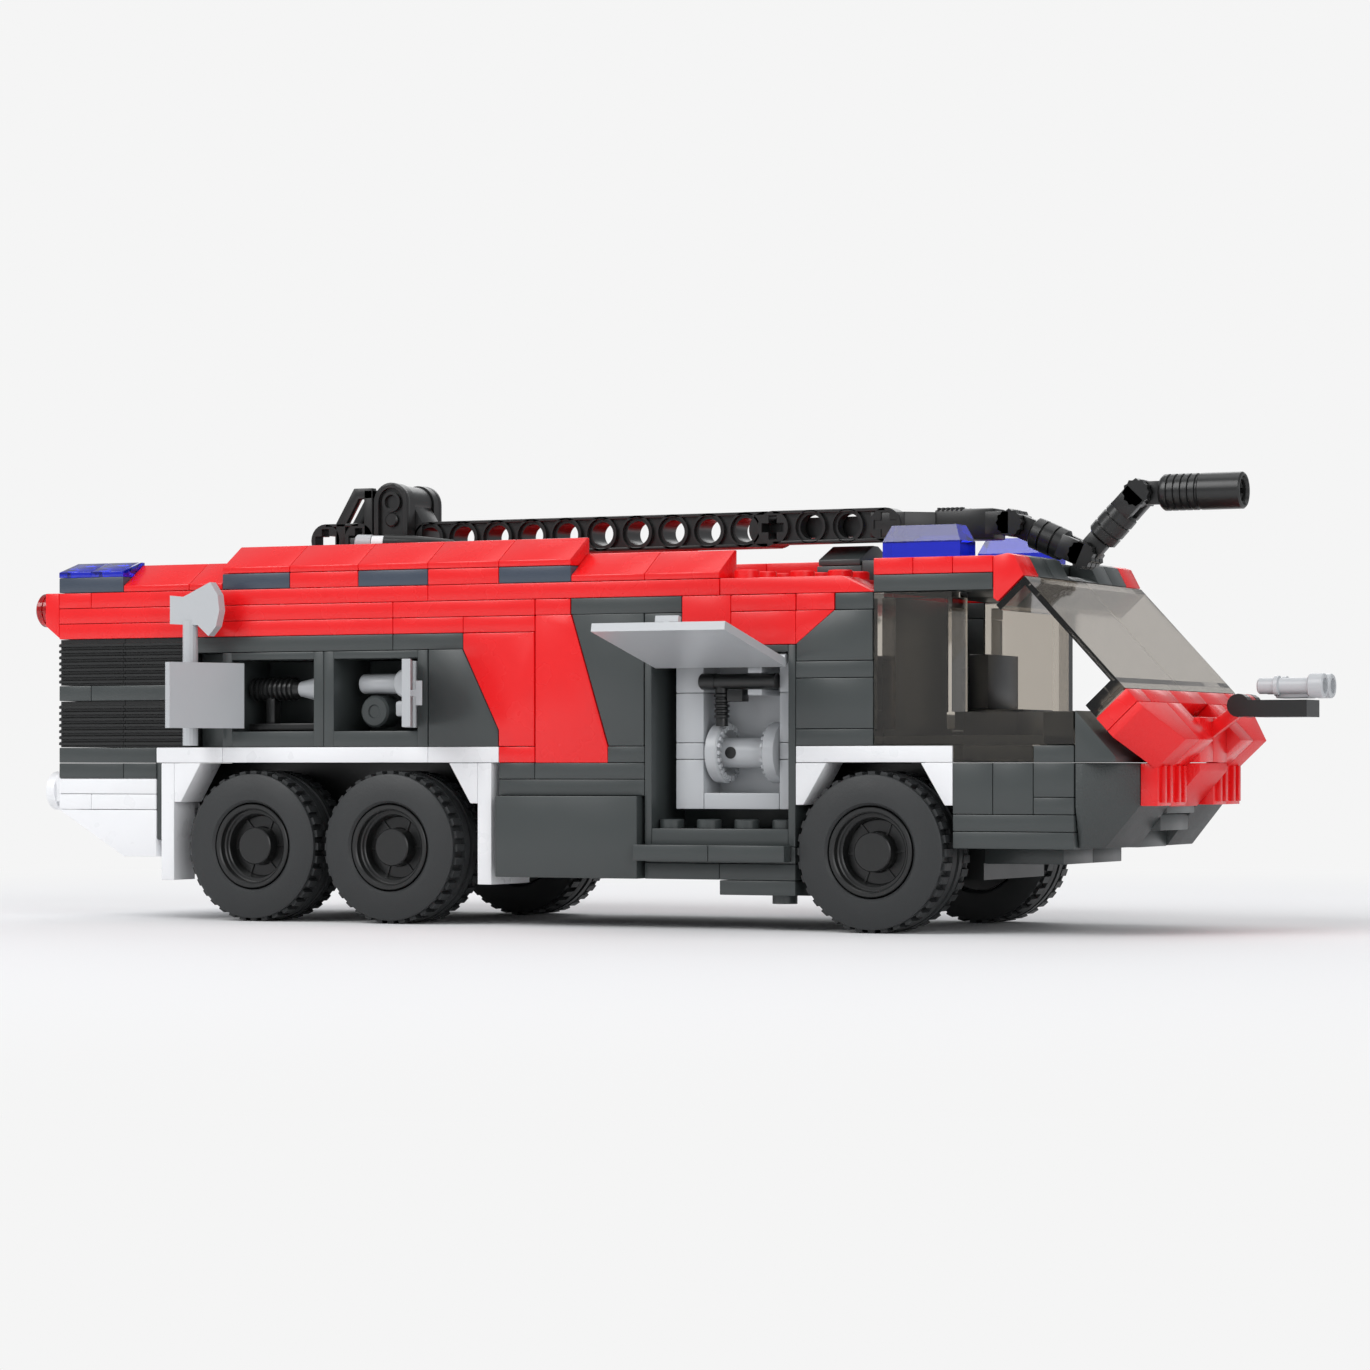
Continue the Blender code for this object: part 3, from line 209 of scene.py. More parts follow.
class Plastic(Enum):
    """The plastics the toy is moulded in."""

    # ABS: hard, opaque and glossy, so broad soft reflections and deep clean colour.
    RED = MouldedPlastic("glossy_abs_bright_red", "red_abs", "#F2181C", 0.26)
    DARK = MouldedPlastic("glossy_abs_dark_grey", "dark_grey_abs", "#404545", 0.32)
    BLACK = MouldedPlastic("glossy_abs_black", "black_abs", "#1D1E1E", 0.30)
    WHITE = MouldedPlastic("glossy_abs_white", "white_abs", "#F4F5F7", 0.28, shade=0.015)
    LIGHT = MouldedPlastic("glossy_abs_light_grey", "light_grey_abs", "#BEC1C4", 0.30, shade=0.02)
    SLATE = MouldedPlastic("glossy_abs_slate_blue", "dark_grey_abs", "#404A58", 0.30)
    # The steep slopes are moulded against a spark-eroded face, which gives them a matt pebbled grain
    # about 0.4 mm across.
    GRAINED_RED = MouldedPlastic(
        "grained_abs_bright_red", "red_abs", "#F2181C", 0.42, grain_mm=0.42, grain_depth=0.55
    )
    GRAINED_DARK = MouldedPlastic(
        "grained_abs_dark_grey", "dark_grey_abs", "#3C4141", 0.45, grain_mm=0.42, grain_depth=0.55
    )
    # Polycarbonate: clear and tinted in the mass, so it darkens what is behind it and stays sharp.
    SMOKE = MouldedPlastic(
        "clear_polycarbonate_smoke",
        "smoke_polycarbonate",
        "#B9B2A8",
        0.04, 1.58, transmission=1.0, ripple_depth=0.01,
    )
    BLUE = MouldedPlastic(
        "clear_polycarbonate_blue",
        "blue_polycarbonate",
        "#1B2BD0",
        0.05, 1.58, transmission=0.85, ripple_depth=0.01,
    )
    LAMP_RED = MouldedPlastic(
        "clear_polycarbonate_red",
        "red_polycarbonate",
        "#C8161C",
        0.06, 1.58, transmission=0.75, ripple_depth=0.01,
    )
    # Styrene-butadiene: a soft satin rubber with a fine mould haze about 0.6 mm across.
    RUBBER = MouldedPlastic(
        "satin_rubber_black", "tyre_rubber", "#2B2D2E", 0.5, 1.52, grain_mm=0.6, grain_depth=0.12
    )


# Shapes


def prism(axis: str, outline: Sequence[Point], span: Span) -> bmesh.types.BMesh:
    """An outline carried along an axis.

    Args:
        axis: x, y or z.
        outline: points on the two other axes, in X, Y, Z order, in mm.
        span: the two ends along the axis, in mm.

    Returns:
        the closed solid, with its faces outward.
    """
    to_place: Callable[[float, float, float], Vector] = {
        "x": lambda a, b, t: place(t, a, b),
        "y": lambda a, b, t: place(a, t, b),
        "z": lambda a, b, t: place(a, b, t),
    }[axis]
    return loft([[to_place(a, b, t) for a, b in outline] for t in span])


def loft(rings: Sequence[Sequence[Vector]], closed: bool = False) -> bmesh.types.BMesh:
    """A solid through rings with the same number of points.

    Args:
        rings: points in the frame, in metres.
        closed: join the last ring to the first, instead of capping both.

    Returns:
        the closed solid, with its faces outward.
    """
    bm = bmesh.new()
    rows = [[bm.verts.new(p) for p in ring] for ring in rings]
    pairs = list(zip(rows, rows[1:]))
    if closed:
        pairs.append((rows[-1], rows[0]))
    else:
        bm.faces.new(rows[0])
        bm.faces.new(rows[-1])
    for a, b in pairs:
        for k in range(len(a)):
            n = (k + 1) % len(a)
            bm.faces.new([a[k], a[n], b[n], b[k]])
    bmesh.ops.recalc_face_normals(bm, faces=bm.faces)
    return bm


def turned(
    axis: str, centre: tuple[
        float, float, float
    ], profile: Sequence[Point], sides: int = 32, closed: bool = False
) -> bmesh.types.BMesh:
    """A profile turned about an axis.

    Args:
        axis: x, y or z, through centre.
        centre: a point on the axis, in mm.
        profile: (distance along the axis from centre, radius), in mm.
        sides: facets round the axis.
        closed: the profile is a loop, so that the solid has a hole.

    Returns:
        the closed solid.
    """
    order = {"x": (1, 2, 0), "y": (0, 2, 1), "z": (0, 1, 2)}[axis]
    rings = []
    for t, r in profile:
        ring = []
        for k in range(sides):
            turn = 2 * math.pi * (k + 0.5) / sides
            spot = [0.0, 0.0, 0.0]
            spot[order[0]] = r * math.cos(turn)
            spot[order[1]] = r * math.sin(turn)
            spot[order[2]] = t
            ring.append(place(*(a + b for a, b in zip(spot, centre))))
        rings.append(ring)
    return loft(rings, closed)


def rectangle(a: Span, b: Span) -> list[Point]:
    """The corners of a rectangle, from its spans along the outline's two axes."""
    return [(a[0], b[0]), (a[1], b[0]), (a[1], b[1]), (a[0], b[1])]


def set_round(
    axis: str, centre: tuple[float, float, float], turn: float, outline: Sequence[Point], span: Span
) -> bmesh.types.BMesh:
    """A block set at an angle round an axis, such as a tooth or a rib.

    Args:
        axis: x or y, through centre.
        centre: a point on the axis, in mm.
        turn: the block's angle, in radians.
        outline: (distance from the axis, distance sideways), in mm.
        span: the two ends along the axis from centre, in mm.

    Returns:
        the closed solid.
    """
    rings = []
    for t in span:
        ring = []
        for r, a in outline:
            p = r * math.cos(turn) - a * math.sin(turn)
            q = r * math.sin(turn) + a * math.cos(turn)
            offset = (t, p, q) if axis == "x" else (p, t, q)
            ring.append(place(*(c + o for c, o in zip(centre, offset))))
        rings.append(ring)
    return loft(rings)


def arc(centre: Point, radius: float, start: float, end: float, steps: int = 8) -> list[Point]:
    """Points on a circle from one angle to another, in degrees.

    Args:
        centre: in the outline's own axes.
        radius: in mm.
        start: first angle.
        end: last angle.
        steps: how many chords.

    Returns:
        the points, both ends included.
    """
    turns = [math.radians(start + (end - start) * k / steps) for k in range(steps + 1)]
    return [(centre[0] + radius * math.cos(t), centre[1] + radius * math.sin(t)) for t in turns]


def rounded(bm: bmesh.types.BMesh, width: float = EDGE, segments: int = 2) -> bmesh.types.BMesh:
    """Rounds every edge of a solid that turns by more than 25 degrees.

    Args:
        bm: the solid.
        width: the rounding in mm.
        segments: facets across it.

    Returns:
        the same solid.
    """
    sharp = [e for e in bm.edges if len(e.link_faces) == 2 and e.calc_face_angle(0) > math.radians(25)]
    bmesh.ops.bevel(
        bm,
        geom=sharp,
        offset=width / 1000,
        offset_type="OFFSET",
        segments=segments,
        profile=0.5,
        affect="EDGES",
        clamp_overlap=True,
    )
    return bm


def mirrored(side: int, y0: float, y1: float) -> Span:
    """The span from y0 to y1 outward from the centre line, on one side."""
    return (y0, y1) if side > 0 else (-y1, -y0)


@dataclass
class Moulding:
    """One piece of the truck, in one plastic, gathered from solids."""

    name: str
    plastic: Plastic
    body: str = "body"
    mesh: bmesh.types.BMesh = field(default_factory=bmesh.new)

    def add(self, bm: bmesh.types.BMesh, turn: Matrix | None = None) -> None:
        """Takes in a solid, moved by a matrix in the frame's metres if one is given.

        Args:
            bm: the solid, which is used up.
            turn: where to move it to, if anywhere.
        """
        if turn is not None:
            bmesh.ops.transform(bm, matrix=turn, verts=bm.verts)
        held = bpy.data.meshes.new("held")
        bm.to_mesh(held)
        bm.free()
        self.mesh.from_mesh(held)
        bpy.data.meshes.remove(held)

    def block(self, axis: str, outline: Sequence[Point], span: Span, edge: float = EDGE) -> None:
        """Takes in a prism with rounded edges, whichever way round its span is given."""
        self.add(rounded(prism(axis, outline, sorted(span)), edge))

    def sharp_block(self, axis: str, outline: Sequence[Point], span: Span) -> None:
        """Takes in a prism with its edges left sharp, whichever way round its span is given."""
        self.add(prism(axis, outline, sorted(span)))

    def lathe(
        self,
        axis: str,
        centre: tuple[float, float, float],
        profile: Sequence[Point],
        sides: int = 32,
        closed: bool = False,
    ) -> None:
        """Takes in a turned solid."""
        self.add(turned(axis, centre, profile, sides, closed))

    def brick(self, x0: float, x1: float, y0: float, y1: float, h0: float, h1: float) -> None:
        """A brick, plate or tile between places on the grid.

        Args:
            x0: rear end in studs.
            x1: front end in studs.
            y0: right end in studs.
            y1: left end in studs.
            h0: bottom in plates.
            h1: top in plates.
        """
        outline = [
            (x0 * STUD + SEAM, y0 * STUD + SEAM),
            (x1 * STUD - SEAM, y0 * STUD + SEAM),
            (x1 * STUD - SEAM, y1 * STUD - SEAM),
            (x0 * STUD + SEAM, y1 * STUD - SEAM),
        ]
        self.add(rounded(prism("z", outline, (h0 * PLATE + SEAM, h1 * PLATE - SEAM))))

    def bricks(self, rows: Iterable[tuple[float, float, float, float, float, float]]) -> None:
        """Bricks from rows of x0, x1, y0, y1, h0, h1."""
        for row in rows:
            self.brick(*row)

    def both_sides(
        self, rows: Iterable[tuple[float, float, float, float]], y0: float = 3, y1: float = 4
    ) -> None:
        """Bricks in both side walls, from rows of x0, x1, h0, h1.

        Args:
            rows: x0, x1, h0, h1 of each brick.
            y0: inner face in studs.
            y1: outer face in studs.
        """
        for x0, x1, h0, h1 in rows:
            for side in SIDES:
                self.brick(x0, x1, *mirrored(side, y0, y1), h0, h1)

    def wall(self, outline: Sequence[Point], y0: float, y1: float, edge: float = EDGE) -> None:
        """An outline of (studs, plates) carried across between two places in studs."""
        points = [(x * STUD, h * PLATE) for x, h in outline]
        self.add(rounded(prism("y", points, (y0 * STUD + SEAM, y1 * STUD - SEAM)), edge))

    def stud(self, x: float, y: float, h: float) -> None:
        """A stud whose middle is at x, y in studs, standing on level h."""
        profile = [(0, STUD_RADIUS), (STUD_HEIGHT - 0.2, STUD_RADIUS), (STUD_HEIGHT, STUD_RADIUS - 0.2)]
        self.add(turned("z", (x * STUD, y * STUD, h * PLATE), profile, 20))

    def studs(self, x0: int, x1: int, y0: int, y1: int, h: float) -> None:
        """A stud on every square of a rectangle."""
        for x in range(x0, x1):
            for y in range(y0, y1):
                self.stud(x + 0.5, y + 0.5, h)

    def finish(self, *stands_for: str) -> bpy.types.Object:
        """Makes the object, hangs it on the body it rides on, and hides the CAD nodes it stands for.

        Args:
            stands_for: CAD nodes that this piece replaces.

        Returns:
            the object.
        """
        mesh = bpy.data.meshes.new(self.name)
        bmesh.ops.recalc_face_normals(self.mesh, faces=self.mesh.faces)
        self.mesh.to_mesh(mesh)
        self.mesh.free()
        mesh.shade_smooth()
        mesh.set_sharp_from_angle(angle=math.radians(38))
        made = bpy.data.objects.new(self.name, mesh)
        bpy.context.scene.collection.objects.link(made)
        made.data.materials.append(self.plastic.value.material())
        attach(made, self.body)
        if stands_for:
            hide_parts(*stands_for)
        return made


def dress_cad(node: str, plastic: Plastic, edge: float = EDGE) -> bpy.types.Object:
    """Gives a CAD node its plastic and rounds its edges.

    Args:
        node: the node's name.
        plastic: what it is moulded in.
        edge: the rounding in mm.

    Returns:
        the node's object.
    """
    made = bpy.data.objects[node]
    made.data.materials.clear()
    made.data.materials.append(plastic.value.material())
    soften = made.modifiers.new("moulded edges", "BEVEL")
    soften.width = edge / 1000
    soften.segments = 2
    soften.limit_method = "ANGLE"
    soften.angle_limit = math.radians(35)
    soften.harden_normals = False
    return made


@dataclass
class RearEnd:
    """The white skirt, the dark rows over it, the louvred engine cover and the lamps."""

    ridges: int = 7
    ridge_depth: float = 0.75  # mm
    disc_radius: float = 4.0  # mm

    def build(self) -> None:
        """Builds the four."""
        self.skirt()
        self.rows()
        self.louvres()
        self.lamps()

    def skirt(self) -> None:
        """The undercut slopes, the two rows over them and the round tiles behind."""
        white = Moulding("rear_skirt", Plastic.WHITE)
        for y0 in (-4, -2, 0, 2):
            white.wall([(0, 6.98), (2, 4), (3, 4), (3, 6.98)], y0, y0 + 2)
            white.bricks([(0, 1, y0, y0 + 2, 7, 8), (1, 3, y0, y0 + 2, 7, 8)])
        white.bricks([(0, 3, -4, 0, 8, 9), (0, 3, 0, 4, 8, 9)])
        for y in (-3.5, -1.5, 1.5, 3.5):
            r = self.disc_radius
            profile = [(-1.3, 1.5), (-1.3, r), (-3.2, r), (-3.6, r - 0.7), (-3.65, 0.4)]
            white.lathe("x", (0, y * STUD, 8.2 * PLATE), profile, 32)
        white.block("x", rectangle((-31.3, 31.3), (24, 29.6)), (-1.35, -0.05))
        white.finish("rear_bumper")

    def rows(self) -> None:
        """The two dark rows, and the rounded blade in front of them."""
        dark = Moulding("rear_rows", Plastic.DARK)
        for y0 in (-4, 0):
            dark.bricks(
                [(0, 2, y0, y0 + 4, 9, 10), (2, 3, y0, y0 + 4, 9, 10), (0, 3, y0, y0 + 4, 10, 11)]
            )
        for side in SIDES:
            span = mirrored(side, 3.1, 3.95)
            points = [
                (23.6, 32), (23.6, 17.2), *arc((24.6, 17.2), 1.0, 180, 300, 4), (25.2, 17.2), (25.2, 32)
            ]
            dark.block("y", points, (span[0] * STUD, span[1] * STUD))
        dark.finish("rear_body")

    def louvre(self, h0: float, outer: float) -> list[Point]:
        """The saw-toothed outline of a louvred brick, as (depth from outer, height) in mm.

        Args:
            h0: the brick's bottom in plates.
            outer: how far out the ridges reach, in mm.

        Returns:
            the outline.
        """
        pitch = (3 * PLATE - 0.8) / self.ridges
        points = [(outer - STUD, h0 * PLATE + SEAM), (outer - self.ridge_depth, h0 * PLATE + SEAM)]
        for k in range(self.ridges):
            low = h0 * PLATE + 0.4 + k * pitch
            points += [
                (outer - self.ridge_depth, low),
                (outer, low + 0.12),
                (outer, low + pitch * 0.5),
                (outer - self.ridge_depth, low + pitch * 0.68),
            ]
        top = (h0 + 3) * PLATE - SEAM
        return points + [(outer - self.ridge_depth, top), (outer - STUD, top)]

    def louvres(self) -> None:
        """Two courses of louvred bricks on the sides and the back, with a plate between."""
        black = Moulding("engine_louvres", Plastic.BLACK)
        for h0 in (11, 15):
            for side in SIDES:
                outline = [(side * d, z) for d, z in self.louvre(h0, 4 * STUD)]
                for x0 in (0, 2):
                    black.sharp_block("x", outline, (x0 * STUD + SEAM, (x0 + 2) * STUD - SEAM))
            back = [(STUD - d, z) for d, z in self.louvre(h0, STUD)]
            for y0 in (-3, -1, 1):
                black.sharp_block("y", back, (y0 * STUD + SEAM, (y0 + 2) * STUD - SEAM))
        black.finish("engine_grille")
        plate = Moulding("engine_plates", Plastic.DARK)
        plate.both_sides([(0, 1, 14, 15), (1, 4, 14, 15)])
        plate.brick(0, 1, -3, 3, 14, 15)
        plate.finish()

    def lamps(self) -> None:
        """The ringed red tail lamps and the blue beacons at the rear corners of the roof."""
        for side in SIDES:
            name = SIDE_NAMES[side]
            low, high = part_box(f"tail_light_{name}")
            y = (low.y + high.y) * 500
            z = (low.z + high.z) * 500
            x = high.x * 1000 - REAR_FACE
            reach = (high.x - low.x) * 1000
            r = (high.z - low.z) * 500
            lamp = Moulding(f"tail_lamp_{name}", Plastic.LAMP_RED)
            profile = [(0, 1.2), (0, r), (-0.7, r), (-0.8, r - 0.25), (-1.0, r - 0.25), (-1.1, r)]
            profile += [
                (-reach + 0.5, r), (-reach, r - 0.5), (-reach, 2.5), (-reach + 0.25, 2.3),
                (-reach + 0.25, 0.3)
            ]
            lamp.lathe("x", (x, y, z), profile, 36)
            lamp.finish(f"tail_light_{name}")
            beacon = Moulding(f"beacon_rear_corner_{name}", Plastic.BLUE)
            for x0 in (0, 1):
                outline = [(4, 22), (4, 22.35), (3.15, 23), (3, 23), (3, 22)]
                points = [(side * y * STUD, h * PLATE) for y, h in outline]
                beacon.block("x", points, (x0 * STUD + SEAM, (x0 + 1) * STUD - SEAM), 0.12)
            beacon.finish(f"beacon_rear_{name}")


@dataclass
class Mudguards:
    """The white arches and stripe."""

    thickness: float = 0.4  # studs
    rear: float = 3.55  # studs, inner face of the rear leg
    front: float = 12.4  # studs, inner face of the front leg

    def corner(self, white: Moulding, x: float, way: int, side: int) -> None:
        """The little slope in an arch's top corner."""
        white.wall(
            [(x, 9.98), (x + way * 0.8, 9.98), (x + way * 0.2, 7.5), (x, 7.5)], *mirrored(side, 3, 4)
        )

    def build(self) -> None:
        """Builds both arches."""
        white = Moulding("mudguards_over_rear_wheels", Plastic.WHITE)
        white.both_sides([(3, 5, 10, 11), (5, 11, 10, 11), (11, 13, 10, 11)])
        white.brick(12, 13, -3, 3, 10, 11)
        for side in SIDES:
            for x0, depth in ((self.rear - self.thickness, 3), (self.front, 2)):
                x1 = x0 + self.thickness
                white.brick(x0, x1, *mirrored(side, 3, 4), 2.5, 10)
                if depth < 3:
                    white.brick(x0, x1, *mirrored(side, depth, 3), 2.5, 10)
            self.corner(white, self.rear, 1, side)
            self.corner(white, self.front, -1, side)
        white.finish("mudguards_rear")
        white = Moulding("mudguards_over_front_wheels", Plastic.WHITE)
        white.both_sides([(21, 25, 10, 11)])
        white.brick(22, 24, -3, 3, 10, 11)
        for side in SIDES:
            self.corner(white, 21, 1, side)
            self.corner(white, 25, -1, side)
        white.finish("mudguards_front")


@dataclass
class Wheels:
    """The six wheels: stepped rims and block-treaded tyres."""

    blocks: int = 36
    groove: float = 1.0  # mm

    def build(self) -> None:
        """Builds every wheel round its CAD node's own centre and width."""
        for position in ("rear", "middle", "front"):
            dress_cad(f"axle_{position}", Plastic.BLACK, 0.1)
            for side in SIDES:
                name = f"{position}_{SIDE_NAMES[side]}"
                low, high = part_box(f"tyre_{name}")
                x = (low.x + high.x) * 500 - REAR_FACE
                z = (low.z + high.z) * 500
                outer = (high.y if side > 0 else low.y) * 1000
                width = (high.y - low.y) * 1000
                self.tyre(name, side, x, z, outer, width, z)
                self.rim(name, side, x, z, outer, width)

    def tyre(
        self, name: str, side: int, x: float, z: float, outer: float, width: float, radius: float
    ) -> None:
        """A tyre with smooth sidewalls, a row of blocks inside each and two ribs round the crown.

        Args:
            name: the wheel's place.
            side: -1 for the right, 1 for the left.
            x: the axle along the truck, in mm.
            z: the axle's height in mm.
            outer: the outer face across the truck, in mm.
            width: in mm.
            radius: in mm.
        """
        rubber = Moulding(f"treaded_tyre_{name}", Plastic.RUBBER, f"wheel_{name}")
        base = radius - self.groove
        bead = 8.8
        half = [
            (0.5, bead), (0.0, bead + 0.5), (0.0, radius - 1.1), (0.3, radius - 0.65),
            (1.0, radius - 0.6), (1.2, base), (4.3, base), (4.4, radius - 0.1), (6.2, radius), (6.3, base),
        ]
        profile = half + [(width - t, r) for t, r in reversed(half)]
        ring = [(-side * t, r) for t, r in profile]
        rubber.lathe("y", (x, outer, z), ring, 72, closed=True)
        rows = (
            # distance in from the outer face, length across, share of the pitch, offset in pitches
            (0.95, 3.05, 0.6, 0.0),
            (width - 4.0, 3.05, 0.6, 0.5),
        )
        step = 2 * math.pi / self.blocks
        for start, length, share, offset in rows:
            for k in range(self.blocks):
                turn = (k + offset) * step
                reach = step * share / 2
                low = radius - self.groove - 0.3
                ring_pair = []
                for t in (start, start + length):
                    corners = [
                        (low, -reach), (low, reach), (radius, reach * 0.88), (radius, -reach * 0.88)
                    ]
                    ring_pair.append(
                        [
                            place(
                                x + r * math.cos(turn + a),
                                outer - side * t,
                                z + r * math.sin(turn + a),
                            )
                            for r, a in corners
                        ]
                    )
                rubber.add(loft(ring_pair))
        rubber.finish(f"tyre_{name}")

    def rim(self, name: str, side: int, x: float, z: float, outer: float, width: float) -> None:
        """A black rim that steps in to a flat hub, with curved ribs on its dish.

        Args:
            name: the wheel's place.
            side: -1 for the right, 1 for the left.
            x: the axle along the truck, in mm.
            z: the axle's height in mm.
            outer: the tyre's outer face across the truck, in mm.
            width: the tyre's width in mm.
        """
        black = Moulding(f"stepped_rim_{name}", Plastic.BLACK, f"wheel_{name}")
        profile = [
            (2.4, 0.3), (2.4, 2.75), (width - 1.2, 2.75), (width - 1.2, 8.5), (0.4, 8.5), (0.25, 8.35),
            (0.25, 7.7), (0.5, 7.45), (1.8, 7.35), (2.0, 7.1), (2.0, 6.6), (2.2, 6.4), (4.2, 6.2),
            (4.4, 6.0), (4.4, 3.95), (4.2, 3.75), (1.5, 3.75), (1.3, 3.55), (1.3, 0.3),
        ]
        ring = [(-side * t, r) for t, r in profile]
        black.lathe("y", (x, outer, z), ring, 56)
        for k in range(6):
            bend = [(r, a + 0.5 * (r - 3.6) / 2.7) for r, a in rectangle((3.6, 6.3), (-0.2, 0.2))]
            depths = (-side * 4.1, -side * 4.5)
            black.add(set_round("y", (x, outer, z), math.radians(60 * k), bend, depths))
        black.finish(f"rim_{name}")


@dataclass
class UpperBody:
    """The red body: side courses, slanted sash, deck with studs, and the slopes along the roof's edges."""

    def build(self) -> None:
        """Builds the red courses, the deck, the slopes and the slate plates let into them."""
        red = Moulding("red_courses", Plastic.RED)
        red.both_sides(
            [
                # x0, x1, h0, h1
                (0, 1, 20, 21), (1, 11, 20, 21), (11, 19, 20, 21),
                (0, 10, 19, 20), (10, 14, 19, 20),
                (0, 10, 18, 19), (10, 12, 18, 19), (12, 14, 18, 19),
                (13, 14, 10, 11),
                (18, 19.3, 17, 20), (19.3, 21, 17, 19), (19.3, 21, 19, 20),
            ]
        )
        for side in SIDES:
            span = mirrored(side, 3, 4)
            red.wall(
                [(12, 17.98), (12, 17), (13, 12), (13, 11.02), (13.98, 11.02), (13.98, 17.98)], *span
            )
            red.wall([(14.02, 10), (16, 10), (16, 11), (15.125, 18), (15, 19), (14.02, 19)], *span)
            red.wall(rectangle((14.02, 14.98), (19.02, 19.98)), *span)
            red.wall([(21, 17), (22, 19), (21, 19)], *span)
            red.wall(rectangle((21.02, 22), (19.02, 20)), *span)
            red.wall([(19.02, 20.02), (23, 20.02), (22.2, 21), (19.02, 21)], *span)
            red.wall([(-0.42, 18.9), (0, 18.1), (0, 21), (-0.42, 21)], *span)
            red.stud(19.5, side * 3.5, 21)
        red.brick(0, 1, -3, 3, 18, 20)
        red.finish("upper_body")
        self.deck()
        self.slopes()

    def deck(self) -> None:
        """The red roof plates between the edge slopes, with their studs."""
        deck = Moulding("roof_deck_plates", Plastic.RED)
        for y0 in (-3, 0):
            deck.bricks(
                [(0, 5, y0, y0 + 3, 20, 21), (5, 15, y0, y0 + 3, 20, 22), (15, 22, y0, y0 + 3, 20, 21)]
            )
        deck.both_sides([(7, 9, 21, 22), (11, 13, 21, 22)])
        deck.studs(0, 5, -3, 3, 21)
        deck.studs(5, 15, -3, 3, 22)
        deck.studs(15, 22, -3, 3, 21)
        deck.finish()
        slate = Moulding("slate_roof_plates", Plastic.SLATE)
        slate.both_sides([(0, 2, 21, 22), (5, 7, 21, 22), (9, 11, 21, 22), (13, 15, 21, 22)])
        slate.finish()

    def slopes(self) -> None:
        """The runs of shallow slopes along both edges of the roof."""
        red = Moulding("roof_edge_slopes", Plastic.RED)
        runs = (
            # x0, x1, level
            (2, 4, 21), (4, 5, 21), (5, 7, 22), (7, 9, 22), (9, 11, 22), (11, 13, 22), (13, 15, 22),
            (15, 17, 21), (17, 19, 21),
        )
        for x0, x1, level in runs:
            for side in SIDES:
                outline = [(4, 0.02), (4, 0.4), (3.12, 1.8), (3, 1.8), (3, 0.02)]
                points = [(side * (y * STUD - SEAM), (level + h) * PLATE) for y, h in outline]
                red.block("x", points, (x0 * STUD + SEAM, x1 * STUD - SEAM))
        red.finish()


